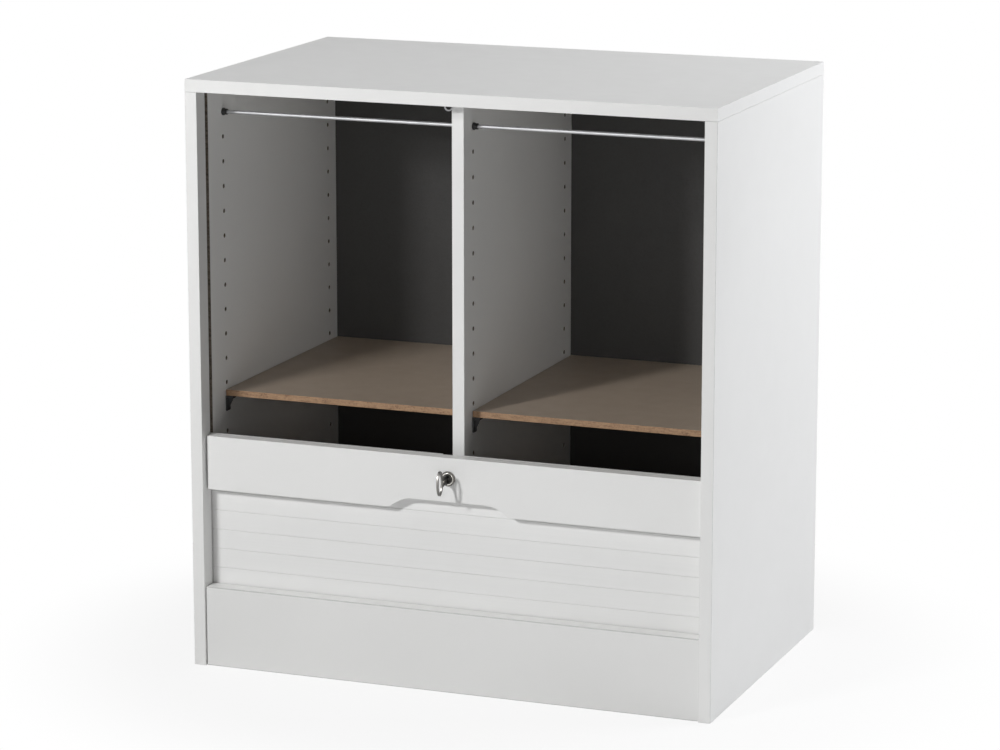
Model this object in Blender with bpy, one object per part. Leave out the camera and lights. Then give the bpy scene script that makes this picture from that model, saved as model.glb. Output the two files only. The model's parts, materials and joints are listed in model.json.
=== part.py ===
"""Tambour door cabinet: a white board carcass with two columns of shelves and hanging-file rods,
closed by a slatted curtain that slides down into the base.

Metres, +Z up, front towards -Y. All sizes below are measured in the cabinet's own coordinates:
X from the middle, Y back from the front edges of the sides, Z up from the floor. One empty then
moves everything so that the origin is under the middle of the overall box.
"""
import math

import bmesh
import bpy
from mathutils import Vector

# Carcass
CABINET_WIDTH = 0.700
CABINET_DEPTH = 0.445
CABINET_HEIGHT = 0.762
BOARD = 0.016
SEAM = 0.0003
DIVIDER_FRONT_Y = 0.045
PLINTH_HEIGHT = 0.105
PLINTH_SETBACK = 0.003
PLINTH_SLAT_GAP = 0.0013
FLOOR_GAP_BEHIND_TRACK = 0.004
BACK_THICKNESS = 0.003
BACK_INSET = 0.010
BACK_GROOVE_DEPTH = 0.006
BACK_FLOOR_GAP = 0.010
STRETCHER_HEIGHT = 0.060

# Peg holes, shelves and their supports
PEG_ROWS = 18
PEG_TOP_BELOW_TOP = 0.0345
PEG_LOWEST_ABOVE_FLOOR = 0.0625
PEG_FRONT_Y = 0.076
PEG_REAR_FROM_BACK = 0.026
PEG_HOLE_DIAMETER = 0.005
PEG_HOLE_DEPTH = 0.0105
PEG_LENGTH = 0.0072
PEG_CLEARANCE = 0.0003
SHELF_THICKNESS = 0.008
SHELF_FRONT_Y = 0.071
SHELF_END_GAP = 0.001
UPPER_SHELF_ROW = 12
LOWER_SHELF_ROW = PEG_ROWS - 1
SUPPORT_RISE = 0.015
SUPPORT_DROP = 0.005
SUPPORT_WIDTH = 0.010
SUPPORT_CORNER = 0.002
SUPPORT_PLATE = 0.0022
SUPPORT_REACH = 0.011
LEDGE_THICKNESS = 0.003
LEDGE_CORNER = 0.0008
LEDGE_INSET = 0.0003

# Hanging-file rods and their holders
ROD_DIAMETER = 0.0050
HOLDER_FLANGE_DIAMETER = 0.0095
HOLDER_FLANGE = 0.0025
HOLDER_DIAMETER = 0.0080
HOLDER_LENGTH = 0.007
HOLDER_FLOOR = 0.002

# Track grooves in the sides
TRACK_Y = 0.0289
TRACK_WIDTH = 0.007
TRACK_DEPTH = 0.0075
TRACK_LOW_Z = 0.010
FRONT_BEND_RADIUS = 0.060
REAR_BEND_RADIUS = 0.0365
REAR_BEND_FROM_BACK = 0.067
RETURN_RUN = 0.115

# Curtain slats
SLAT_PITCH = 0.0253
SLAT_THICKNESS = 0.0036
SLAT_OUTSET = 0.0008
SLAT_END_GAP = 0.0012
SLAT_LINE = 0.0006
SLAT_CHAMFER = 0.0006
TONGUE_HEIGHT = 0.0045
TONGUE_THICKNESS = 0.0014
FRONT_SLATS = 4
STOWED_SLATS = 20
WEB_THICKNESS = 0.0012
CARRIER_DROP = 0.0057
CARRIER_NUT_GAP = 0.0026

# Front rail
RAIL_HEIGHT = 0.070
RAIL_THICKNESS = 0.016
RAIL_REST_Z = 0.233
RAIL_END_GAP = 0.002
RAIL_TOP_GAP = 0.0005
NOTCH_WIDTH = 0.160
NOTCH_FLAT = 0.102
NOTCH_HEIGHT = 0.0132
RAIL_SCREW_SPACING = 0.250
RAIL_SCREW_RISE = 0.019
RAIL_SCREW_DIAMETER = 0.0035
RAIL_SCREW_LENGTH = 0.014
RAIL_SCREW_HEAD_DIAMETER = 0.007
RAIL_SCREW_HEAD = 0.0016

# Lock, key and keeper
LOCK_BELOW_RAIL_TOP = 0.0265
LOCK_CLEARANCE = 0.0003
FLANGE_DIAMETER = 0.019
FLANGE_THICKNESS = 0.0035
HOUSING_DIAMETER = 0.0160
HOUSING_TAIL = 0.0045
PLUG_DIAMETER = 0.0120
PLUG_PROUD = 0.0015
NUT_THICKNESS = 0.003
NUT_ACROSS_FLATS = 0.021
CAM_SQUARE = 0.007
CAM_THICKNESS = 0.0025
CAM_HUB_RADIUS = 0.0075
CAM_ARM_WIDTH = 0.006
HOOK_FINGER = 0.0042
HOOK_TOP_GAP = 0.0015
HOOK_TIP_ANGLE = 178.0
HOOK_ARM_ANGLE = 230.0
CAM_SCREW_DIAMETER = 0.0035
CAM_SCREW_LENGTH = 0.0085
CAM_SCREW_HEAD_DIAMETER = 0.009
CAM_SCREW_HEAD = 0.002
KEY_THICKNESS = 0.0022
KEY_BLADE_HEIGHT = 0.0076
KEY_SLOT_WALL = 0.0025
BOW_CENTRE_FROM_RAIL = 0.028
BOW_LENGTH = 0.018
BOW_HEIGHT = 0.032
BOW_RIM = 0.0032
KEEPER_WIRE = 0.002
KEEPER_WIDTH = 0.010
KEEPER_PLAY = 0.002
KEEPER_X = -0.0066
KEEPER_TURN = 45.0
KEEPER_LEG = 0.009

# Numbers of facets
ROUND_STEPS = 24
PEG_STEPS = 8
ROD_STEPS = 12
BEND_STEPS = 10
FINE_STEPS = 90

# Places worked out from the sizes
SIDE_INNER_X = CABINET_WIDTH / 2 - BOARD
TOP_UNDER_Z = CABINET_HEIGHT - BOARD
BACK_FRONT_Y = CABINET_DEPTH - BACK_INSET - BACK_THICKNESS
DIVIDER_FACE_X = BOARD / 2
FLOOR_TOP_Z = PLINTH_HEIGHT
FLOOR_UNDER_Z = FLOOR_TOP_Z - BOARD
FLOOR_FRONT_Y = TRACK_Y + TRACK_WIDTH / 2 + FLOOR_GAP_BEHIND_TRACK
PEG_TOP_Z = TOP_UNDER_Z - PEG_TOP_BELOW_TOP
PEG_PITCH = (PEG_TOP_Z - FLOOR_TOP_Z - PEG_LOWEST_ABOVE_FLOOR) / (PEG_ROWS - 1)
PEG_REAR_Y = BACK_FRONT_Y - PEG_REAR_FROM_BACK
REAR_BEND_Y = BACK_FRONT_Y - REAR_BEND_FROM_BACK
TRACK_END_Y = REAR_BEND_Y - RETURN_RUN
PEG_RADIUS = PEG_HOLE_DIAMETER / 2 * math.cos(math.pi / PEG_STEPS) - PEG_CLEARANCE
SLAT_FRONT_Y = TRACK_Y - SLAT_OUTSET - SLAT_THICKNESS / 2
SLAT_HALF_LENGTH = SIDE_INNER_X + TRACK_DEPTH - SLAT_END_GAP
FIRST_SLAT_TOP_Z = RAIL_REST_Z - CARRIER_DROP
RAIL_BACK_Y = SLAT_FRONT_Y - SEAM
RAIL_FRONT_Y = RAIL_BACK_Y - RAIL_THICKNESS
RAIL_TOP_Z = RAIL_REST_Z + RAIL_HEIGHT
LOCK_Z = RAIL_TOP_Z - LOCK_BELOW_RAIL_TOP
NUT_CORNER_RADIUS = NUT_ACROSS_FLATS / math.sqrt(3)
LOCK_NOTCH_HALF = NUT_CORNER_RADIUS + CARRIER_NUT_GAP
HOUSING_REAR_Y = RAIL_BACK_Y + HOUSING_TAIL
CAM_FRONT_Y = HOUSING_REAR_Y + LOCK_CLEARANCE
CAM_REAR_Y = CAM_FRONT_Y + CAM_THICKNESS
KEEPER_Y = (CAM_FRONT_Y + CAM_REAR_Y) / 2
PLUG_FRONT_Y = RAIL_FRONT_Y - FLANGE_THICKNESS - PLUG_PROUD
CAM_SCREW_TIP_Y = CAM_REAR_Y + SEAM - CAM_SCREW_LENGTH
KEY_TIP_Y = CAM_SCREW_TIP_Y - KEY_SLOT_WALL
LOCK_TO_TOP = LOCK_BELOW_RAIL_TOP + RAIL_TOP_GAP
HOOK_OUTER_RADIUS = LOCK_TO_TOP - HOOK_TOP_GAP
HOOK_INNER_RADIUS = HOOK_OUTER_RADIUS - HOOK_FINGER
HOOK_OVER_KEEPER = math.sqrt(HOOK_INNER_RADIUS ** 2 - KEEPER_X ** 2)
KEEPER_DROP = LOCK_TO_TOP - HOOK_OVER_KEEPER + KEEPER_WIRE + KEEPER_PLAY
BOW_Y = RAIL_FRONT_Y - BOW_CENTRE_FROM_RAIL
KEY_REACH = BOW_LENGTH / 2 - BOW_Y

MELAMINE = ("white_melamine", (0.80, 0.80, 0.79), 0.45, 0.0)
SLAT_PLASTIC = ("white_slat_plastic", (0.78, 0.78, 0.77), 0.40, 0.0)
SHELF_BOARD = ("shelf_board", (0.31, 0.20, 0.12), 0.70, 0.0)
DARK_HARDBOARD = ("dark_hardboard", (0.020, 0.020, 0.019), 0.75, 0.0)
CHROME = ("chrome", (0.80, 0.80, 0.80), 0.12, 1.0)
NICKEL = ("nickel", (0.62, 0.60, 0.56), 0.22, 1.0)
STEEL = ("zinc_steel", (0.55, 0.55, 0.55), 0.35, 1.0)
BLACK_NYLON = ("black_nylon", (0.018, 0.018, 0.018), 0.50, 0.0)
BLACK_PLASTIC = ("black_plastic", (0.015, 0.015, 0.015), 0.45, 0.0)


def clear_scene():
    for old in list(bpy.data.objects):
        bpy.data.objects.remove(old)


def material(finish):
    """Return the Principled material of a finish, made once."""
    name, colour, roughness, metallic = finish
    made = bpy.data.materials.get(name)
    if made:
        return made
    made = bpy.data.materials.new(name)
    made.use_nodes = True
    shader = made.node_tree.nodes["Principled BSDF"]
    shader.inputs["Base Color"].default_value = (*colour, 1.0)
    shader.inputs["Roughness"].default_value = roughness
    shader.inputs["Metallic"].default_value = metallic
    return made


class Group:
    """An empty that carries pieces: the carcass, the curtain or the lock's axis."""

    def __init__(self, name, pivot, parent=None, shift=Vector()):
        self.pivot = Vector(pivot)
        self.empty = bpy.data.objects.new(name, None)
        bpy.context.scene.collection.objects.link(self.empty)
        if parent:
            self.empty.parent = parent.empty
            self.empty.location = self.pivot - parent.pivot
        else:
            self.empty.location = self.pivot + shift


def add(name, shape, finish, group):
    """Turn a bmesh in cabinet coordinates into a named object of a group."""
    bmesh.ops.recalc_face_normals(shape, faces=shape.faces)
    bmesh.ops.translate(shape, verts=shape.verts, vec=-group.pivot)
    mesh = bpy.data.meshes.new(name)
    shape.to_mesh(mesh)
    shape.free()
    made = bpy.data.objects.new(name, mesh)
    made.data.materials.append(material(finish))
    made.parent = group.empty
    bpy.context.scene.collection.objects.link(made)
    return made


def cut(piece, shape, group, kind=""):
    """Cut a bmesh of separate closed bodies, in cabinet coordinates, out of a piece."""
    cutter = add(piece.name + kind + "_cutter", shape, STEEL, group)
    cutter.hide_render = True
    cutter.display_type = "WIRE"
    step = piece.modifiers.new("cut", "BOOLEAN")
    step.operation = "DIFFERENCE"
    step.solver = "EXACT"
    step.object = cutter


def smooth(piece, angle=40.0):
    piece.data.shade_smooth()
    piece.data.set_sharp_from_angle(angle=math.radians(angle))


def prism(shape, outline, reach):
    """Add a closed prism to a bmesh: a flat outline, swept along a vector."""
    near = [shape.verts.new(point) for point in outline]
    far = [shape.verts.new(Vector(point) + Vector(reach)) for point in outline]
    shape.faces.new(near)
    shape.faces.new(list(reversed(far)))
    for i in range(len(near)):
        j = (i + 1) % len(near)
        shape.faces.new((near[i], far[i], far[j], near[j]))
    bmesh.ops.recalc_face_normals(shape, faces=shape.faces)


def box(shape, x, y, z):
    """Add a box to a bmesh, from its ranges along X, Y and Z."""
    outline = [(x[0], y[0], z[0]), (x[1], y[0], z[0]), (x[1], y[1], z[0]), (x[0], y[1], z[0])]
    prism(shape, outline, (0, 0, z[1] - z[0]))


def loft(shape, rings, ring_shaped=False):
    """Join rings of equal counts into a closed body, capped at its ends or joined end to end."""
    loops = [[shape.verts.new(point) for point in ring] for ring in rings]
    pairs = list(zip(loops, loops[1:]))
    if ring_shaped:
        pairs.append((loops[-1], loops[0]))
    else:
        shape.faces.new(loops[0])
        shape.faces.new(list(reversed(loops[-1])))
    for one, two in pairs:
        for i in range(len(one)):
            j = (i + 1) % len(one)
            shape.faces.new((one[i], two[i], two[j], one[j]))
    bmesh.ops.recalc_face_normals(shape, faces=shape.faces)


def ring_along_x(x, y, z, radius, steps):
    turns = [2 * math.pi * (i + 0.5) / steps for i in range(steps)]
    return [(x, y + radius * math.cos(a), z + radius * math.sin(a)) for a in turns]


def ring_along_z(x, y, z, radius):
    turns = [2 * math.pi * i / ROD_STEPS for i in range(ROD_STEPS)]
    return [(x + radius * math.cos(a), y + radius * math.sin(a), z) for a in turns]


def ring_along_y(y, radius_at, steps=ROUND_STEPS, x=0.0, z=LOCK_Z):
    """A ring about an axis along Y; radius_at is a radius or a function of the angle."""
    points = []
    for i in range(steps):
        angle = 2 * math.pi * i / steps
        radius = radius_at(angle) if callable(radius_at) else radius_at
        points.append((x + radius * math.cos(angle), y, z + radius * math.sin(angle)))
    return points


def square_radius(side):
    return lambda angle: side / 2 / max(abs(math.cos(angle)), abs(math.sin(angle)))


def hexagon_radius(across_flats):
    sixth = math.pi / 3
    return lambda angle: across_flats / 2 / math.cos((angle + sixth / 2) % sixth - sixth / 2)


def peg_z(row):
    return PEG_TOP_Z - row * PEG_PITCH


def peg_holes(shape, x_from, x_to):
    """Add the front and rear columns of peg holes between two X planes."""
    for y in (PEG_FRONT_Y, PEG_REAR_Y):
        for row in range(PEG_ROWS):
            ends = (x_from, x_to)
            radius = PEG_HOLE_DIAMETER / 2
            loft(shape, [ring_along_x(x, y, peg_z(row), radius, PEG_STEPS) for x in ends])


def arc(centre, radius, start, end, steps):
    """Points along an arc in a plane upright to the floor, angles in degrees from level towards +Z."""
    angles = [math.radians(start + (end - start) * i / steps) for i in range(steps + 1)]
    return [(centre[0] + radius * math.cos(a), centre[1] + radius * math.sin(a)) for a in angles]


def track_line(outset, steps, top_z):
    """The track in the YZ plane, moved outwards by outset: down the front, back along the base,
    round the rear bend and forward again."""
    front_centre = (TRACK_Y + FRONT_BEND_RADIUS, TRACK_LOW_Z + FRONT_BEND_RADIUS)
    rear_centre = (REAR_BEND_Y, TRACK_LOW_Z + REAR_BEND_RADIUS)
    points = [(TRACK_Y - outset, top_z)]
    points += arc(front_centre, FRONT_BEND_RADIUS + outset, 180, 270, steps)
    points += arc(rear_centre, REAR_BEND_RADIUS + outset, 270, 450, 2 * steps)
    points.append((TRACK_END_Y, TRACK_LOW_Z + 2 * REAR_BEND_RADIUS + outset))
    return points


def points_along(line, step, count):
    """Points on a line, one step apart, from its start."""
    found = [Vector(line[0])]
    wanted = step
    walked = 0.0
    for one, two in zip(line, line[1:]):
        one, two = Vector(one), Vector(two)
        length = (two - one).length
        while wanted <= walked + length and len(found) < count:
            found.append(one.lerp(two, (wanted - walked) / length))
            wanted += step
        walked += length
    return found


def make_side(name, sign, carcass):
    """A side board with its curtain groove, back groove and peg holes; sign is -1 on the left.
    The curtain groove also runs straight on to the foot, where the slats are fed in."""
    inner = sign * SIDE_INNER_X
    outer = sign * CABINET_WIDTH / 2
    board = bmesh.new()
    box(board, sorted((inner, outer)), (0, CABINET_DEPTH), (0, TOP_UNDER_Z - SEAM))
    side = add(name, board, MELAMINE, carcass)
    tools = bmesh.new()
    mouth = inner - sign * SEAM
    above = TOP_UNDER_Z + SEAM
    half = TRACK_WIDTH / 2
    outline = track_line(half, BEND_STEPS, above) + track_line(-half, BEND_STEPS, above)[::-1]
    prism(tools, [(mouth, y, z) for y, z in outline], (sign * (TRACK_DEPTH + SEAM), 0, 0))
    feed = bmesh.new()
    feed_x = sorted((mouth, inner + sign * TRACK_DEPTH))
    box(feed, feed_x, (TRACK_Y - half, TRACK_Y + half), (-SEAM, TRACK_LOW_Z + FRONT_BEND_RADIUS))
    groove_y = (BACK_FRONT_Y - SEAM, BACK_FRONT_Y + BACK_THICKNESS + SEAM)
    box(tools, sorted((mouth, inner + sign * BACK_GROOVE_DEPTH)), groove_y, (-SEAM, above))
    peg_holes(tools, mouth, inner + sign * PEG_HOLE_DEPTH)
    cut(side, tools, carcass)
    cut(side, feed, carcass, "_feed")


def make_carcass(carcass):
    half = CABINET_WIDTH / 2
    between = (-SIDE_INNER_X + SEAM, SIDE_INNER_X - SEAM)
    make_side("left_side", -1, carcass)
    make_side("right_side", 1, carcass)

    top = bmesh.new()
    box(top, (-half, half), (0, CABINET_DEPTH), (TOP_UNDER_Z, CABINET_HEIGHT))
    top = add("top_panel", top, MELAMINE, carcass)
    tools = bmesh.new()
    groove_x = SIDE_INNER_X + BACK_GROOVE_DEPTH
    groove_y = (BACK_FRONT_Y - SEAM, BACK_FRONT_Y + BACK_THICKNESS + SEAM)
    box(tools, (-groove_x, groove_x), groove_y, (TOP_UNDER_Z - SEAM, TOP_UNDER_Z + BACK_GROOVE_DEPTH))
    leg_hole_z = (TOP_UNDER_Z - SEAM, TOP_UNDER_Z + KEEPER_LEG + SEAM)
    for x, y in keeper_legs():
        loft(tools, [ring_along_z(x, y, z, KEEPER_WIRE / 2 + SEAM) for z in leg_hole_z])
    cut(top, tools, carcass)

    back = bmesh.new()
    back_half = SIDE_INNER_X + BACK_GROOVE_DEPTH - SEAM
    back_y = (BACK_FRONT_Y, BACK_FRONT_Y + BACK_THICKNESS)
    box(back, (-back_half, back_half), back_y, (BACK_FLOOR_GAP, TOP_UNDER_Z + BACK_GROOVE_DEPTH - SEAM))
    add("back_panel", back, DARK_HARDBOARD, carcass)

    floor = bmesh.new()
    box(floor, between, (FLOOR_FRONT_Y, BACK_FRONT_Y - SEAM), (FLOOR_UNDER_Z, FLOOR_TOP_Z))
    add("floor_panel", floor, MELAMINE, carcass)

    plinth = bmesh.new()
    box(plinth, between, (PLINTH_SETBACK, SLAT_FRONT_Y - PLINTH_SLAT_GAP), (0, PLINTH_HEIGHT))
    add("plinth", plinth, MELAMINE, carcass)

    stretcher = bmesh.new()
    stretcher_y = (BACK_FRONT_Y - SEAM - BOARD, BACK_FRONT_Y - SEAM)
    stretcher_top = FLOOR_UNDER_Z - SEAM
    box(stretcher, between, stretcher_y, (stretcher_top - STRETCHER_HEIGHT, stretcher_top))
    add("rear_stretcher", stretcher, MELAMINE, carcass)

    divider = bmesh.new()
    divider_y = (DIVIDER_FRONT_Y, BACK_FRONT_Y - SEAM)
    box(divider, (-DIVIDER_FACE_X, DIVIDER_FACE_X), divider_y, (FLOOR_TOP_Z + SEAM, TOP_UNDER_Z - SEAM))
    divider = add("divider", divider, MELAMINE, carcass)
    tools = bmesh.new()
    peg_holes(tools, -DIVIDER_FACE_X - SEAM, DIVIDER_FACE_X + SEAM)
    cut(divider, tools, carcass)


def make_shelf(name, sign, row, carcass):
    """A shelf in one column, on four angle supports pegged into the holes of a row."""
    under = peg_z(row) + SUPPORT_RISE + SEAM
    near, far = DIVIDER_FACE_X + SHELF_END_GAP, SIDE_INNER_X - SHELF_END_GAP
    board = bmesh.new()
    shelf_x = sorted((sign * near, sign * far))
    box(board, shelf_x, (SHELF_FRONT_Y, BACK_FRONT_Y - SHELF_END_GAP), (under, under + SHELF_THICKNESS))
    add(name, board, SHELF_BOARD, carcass)
    walls = (("inner", sign * DIVIDER_FACE_X, sign), ("outer", sign * SIDE_INNER_X, -sign))
    for wall, x, inward in walls:
        for end, y in (("front", PEG_FRONT_Y), ("rear", PEG_REAR_Y)):
            support = bmesh.new()
            root = x + inward * SEAM
            bend = root + inward * SUPPORT_PLATE
            loft(support, [
                ring_along_x(x - inward * PEG_LENGTH, y, peg_z(row), PEG_RADIUS, PEG_STEPS),
                ring_along_x(root, y, peg_z(row), PEG_RADIUS, PEG_STEPS),
                plate_outline(root, y, peg_z(row)),
                plate_outline(bend, y, peg_z(row)),
                ledge_outline(bend, y, peg_z(row)),
                ledge_outline(x + inward * SUPPORT_REACH, y, peg_z(row)),
            ])
            add(f"{name}_support_{wall}_{end}", support, BLACK_NYLON, carcass)


def cut_corner_outline(x, y, half, low, high, corner):
    """An upright rectangle across X with its corners cut, as eight points."""
    points = [
        (half, high - corner), (half - corner, high), (corner - half, high), (-half, high - corner),
        (-half, low + corner), (corner - half, low), (half - corner, low), (half, low + corner),
    ]
    return [(x, y + dy, z) for dy, z in points]


def plate_outline(x, y, z):
    """The support's plate, which lies against the wall."""
    return cut_corner_outline(x, y, SUPPORT_WIDTH / 2, z - SUPPORT_DROP, z + SUPPORT_RISE, SUPPORT_CORNER)


def ledge_outline(x, y, z):
    """The support's ledge, which reaches out under the shelf."""
    high = z + SUPPORT_RISE - LEDGE_INSET
    half = SUPPORT_WIDTH / 2 - LEDGE_INSET - SUPPORT_CORNER
    return cut_corner_outline(x, y, half, high - LEDGE_THICKNESS, high, LEDGE_CORNER)


def make_rod(name, sign, y, carcass):
    """A hanging-file rod across one column, in a pegged holder at each end."""
    z = peg_z(0)
    rod_radius = ROD_DIAMETER / 2
    bore_radius = rod_radius / math.cos(math.pi / ROD_STEPS) + PEG_CLEARANCE
    ends = []
    for wall, x, inward in (
        ("inner", sign * DIVIDER_FACE_X, sign),
        ("outer", sign * SIDE_INNER_X, -sign),
    ):
        holder = bmesh.new()
        flange, barrel = HOLDER_FLANGE_DIAMETER / 2, HOLDER_DIAMETER / 2
        profile = (
            (-PEG_LENGTH, PEG_RADIUS), (SEAM, PEG_RADIUS), (SEAM, flange), (HOLDER_FLANGE, flange),
            (HOLDER_FLANGE, barrel), (HOLDER_LENGTH, barrel),
            (HOLDER_LENGTH, bore_radius), (HOLDER_FLOOR, bore_radius),
        )
        loft(holder, [ring_along_x(x + inward * d, y, z, r, ROD_STEPS) for d, r in profile])
        smooth(add(f"{name}_holder_{wall}", holder, BLACK_PLASTIC, carcass))
        ends.append(x + inward * (HOLDER_FLOOR + SEAM))
    rod = bmesh.new()
    loft(rod, [ring_along_x(x, y, z, rod_radius, ROD_STEPS) for x in ends])
    smooth(add(name, rod, CHROME, carcass))


def lower_joint(bottom_z):
    """A slat's lower end (y, z), from its rebated back, which takes the tongue of the slat below, to
    its chamfered front."""
    front, back = SLAT_FRONT_Y, SLAT_FRONT_Y + SLAT_THICKNESS
    rebate_y = back - TONGUE_THICKNESS - SEAM
    rebate_top = bottom_z + TONGUE_HEIGHT + SEAM
    low = bottom_z + SLAT_LINE / 2
    return [
        (back, rebate_top), (rebate_y, rebate_top), (rebate_y, low),
        (front + SLAT_CHAMFER, low), (front, low + SLAT_CHAMFER),
    ]


def upper_joint(top_z):
    """A slat's upper end (y, z), from its chamfered front to the tongue up its back."""
    front, back = SLAT_FRONT_Y, SLAT_FRONT_Y + SLAT_THICKNESS
    shoulder = back - TONGUE_THICKNESS
    high, tongue_top = top_z - SLAT_LINE / 2, top_z + TONGUE_HEIGHT
    return [
        (front, high - SLAT_CHAMFER), (front + SLAT_CHAMFER, high),
        (shoulder, high), (shoulder, tongue_top), (back, tongue_top),
    ]


def add_slat(name, profile, curtain):
    slat = bmesh.new()
    prism(slat, [(-SLAT_HALF_LENGTH, y, z) for y, z in profile], (2 * SLAT_HALF_LENGTH, 0, 0))
    return add(name, slat, SLAT_PLASTIC, curtain)


def make_stowed_curtain(carcass):
    """The slats below the front ones, as one flexible mat that follows the track into the base."""
    top_z = FIRST_SLAT_TOP_Z - FRONT_SLATS * SLAT_PITCH
    joints = points_along(track_line(SLAT_OUTSET, FINE_STEPS, top_z), SLAT_PITCH, STOWED_SLATS + 1)
    half = SLAT_THICKNESS / 2
    outer, inner = [], []
    for one, two in zip(joints, joints[1:]):
        along = (two - one).normalized()
        out = Vector((along.y, -along.x))
        for place in (one + along * SLAT_LINE, two - along * SLAT_LINE):
            outer.append(place + out * half)
            inner.append(place - out * half)
        if two is not joints[-1]:
            outer.append(two + out * WEB_THICKNESS / 2)
            inner.append(two - out * WEB_THICKNESS / 2)
    mat = bmesh.new()
    x = -SLAT_HALF_LENGTH
    prism(mat, [(x, p.x, p.y) for p in outer + inner[::-1]], (2 * SLAT_HALF_LENGTH, 0, 0))
    add("stowed_curtain", mat, SLAT_PLASTIC, carcass)


def rail_outline():
    """The rail's front outline (x, z), with the finger notch in its lower edge."""
    half = SIDE_INNER_X - RAIL_END_GAP
    low, high = RAIL_REST_Z, RAIL_TOP_Z
    slope = (NOTCH_WIDTH - NOTCH_FLAT) / 2
    rise = []
    for i in range(BEND_STEPS + 1):
        part = i / BEND_STEPS
        height = NOTCH_HEIGHT * math.sin(math.pi / 2 * part)
        rise.append((NOTCH_WIDTH / 2 - slope * part, low + height))
    fall = [(-x, z) for x, z in reversed(rise)]
    return [(half, low), (half, high), (-half, high), (-half, low)] + fall[::-1] + rise[::-1]


def screw_profile(tip_y, head_y, shank, head, head_height):
    """A pan-head screw's profile (y, radius) from its tip to the crown of its head."""
    return ((tip_y, shank / 2), (head_y, shank / 2), (head_y, head / 2), (head_y + head_height, head / 3))


def make_rail(curtain):
    """The rail, screwed to a carrier slat as high as itself, which is notched for the lock."""
    rail = bmesh.new()
    prism(rail, [(x, RAIL_FRONT_Y, z) for x, z in rail_outline()], (0, RAIL_THICKNESS, 0))
    rail = add("front_rail", rail, MELAMINE, curtain)
    slat_back = SLAT_FRONT_Y + SLAT_THICKNESS
    plain_top = [(SLAT_FRONT_Y, RAIL_TOP_Z), (slat_back, RAIL_TOP_Z)]
    carrier = add_slat("carrier_slat", lower_joint(FIRST_SLAT_TOP_Z) + plain_top, curtain)

    rail_tools = bmesh.new()
    bore = HOUSING_DIAMETER / 2 + LOCK_CLEARANCE
    loft(rail_tools, [ring_along_y(y, bore) for y in (RAIL_FRONT_Y - SEAM, RAIL_BACK_Y + SEAM)])
    carrier_tools = bmesh.new()
    lock_notch = arc((0, LOCK_Z), LOCK_NOTCH_HALF, 180, 360, BEND_STEPS)
    lock_notch += [(LOCK_NOTCH_HALF, RAIL_TOP_Z + SEAM), (-LOCK_NOTCH_HALF, RAIL_TOP_Z + SEAM)]
    through = (0, SLAT_THICKNESS + 2 * SEAM, 0)
    prism(carrier_tools, [(x, SLAT_FRONT_Y - SEAM, z) for x, z in lock_notch], through)
    z = RAIL_REST_Z + RAIL_SCREW_RISE
    hole = RAIL_SCREW_DIAMETER / 2 + SEAM
    tip_y = slat_back - RAIL_SCREW_LENGTH
    in_rail = (tip_y - SEAM, RAIL_BACK_Y + SEAM)
    in_carrier = (SLAT_FRONT_Y - SEAM, slat_back + SEAM)
    for i in (-1, 0, 1):
        x = i * RAIL_SCREW_SPACING
        loft(rail_tools, [ring_along_y(y, hole, ROD_STEPS, x, z) for y in in_rail])
        loft(carrier_tools, [ring_along_y(y, hole, ROD_STEPS, x, z) for y in in_carrier])
        screw = bmesh.new()
        rings = screw_profile(
            tip_y, slat_back + SEAM, RAIL_SCREW_DIAMETER, RAIL_SCREW_HEAD_DIAMETER, RAIL_SCREW_HEAD
        )
        loft(screw, [ring_along_y(y, r, ROD_STEPS, x, z) for y, r in rings])
        smooth(add(f"rail_screw_{i + 2}", screw, STEEL, curtain))
    cut(rail, rail_tools, curtain)
    cut(carrier, carrier_tools, curtain)


def make_curtain(curtain):
    make_rail(curtain)
    for i in range(FRONT_SLATS):
        top_z = FIRST_SLAT_TOP_Z - i * SLAT_PITCH
        add_slat(f"slat_{i + 1}", lower_joint(top_z - SLAT_PITCH) + upper_joint(top_z), curtain)


def make_lock_housing(curtain):
    bore = PLUG_DIAMETER / 2 + LOCK_CLEARANCE
    flange, body = FLANGE_DIAMETER / 2, HOUSING_DIAMETER / 2
    face_y = RAIL_FRONT_Y - FLANGE_THICKNESS
    seat_y = RAIL_FRONT_Y - SEAM
    profile = (
        (face_y, bore), (face_y, (bore + flange) / 2), (face_y + FLANGE_THICKNESS / 2, flange),
        (seat_y, flange), (seat_y, body), (HOUSING_REAR_Y, body), (HOUSING_REAR_Y, bore),
    )
    housing = bmesh.new()
    loft(housing, [ring_along_y(y, r) for y, r in profile], ring_shaped=True)
    smooth(add("lock_housing", housing, NICKEL, curtain))

    nut = bmesh.new()
    near, far = RAIL_BACK_Y + SEAM, RAIL_BACK_Y + SEAM + NUT_THICKNESS
    hexagon, hole = hexagon_radius(NUT_ACROSS_FLATS), body + LOCK_CLEARANCE
    rings = ((near, hexagon), (far, hexagon), (far, hole), (near, hole))
    loft(nut, [ring_along_y(y, r) for y, r in rings], ring_shaped=True)
    add("lock_nut", nut, NICKEL, curtain)


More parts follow.
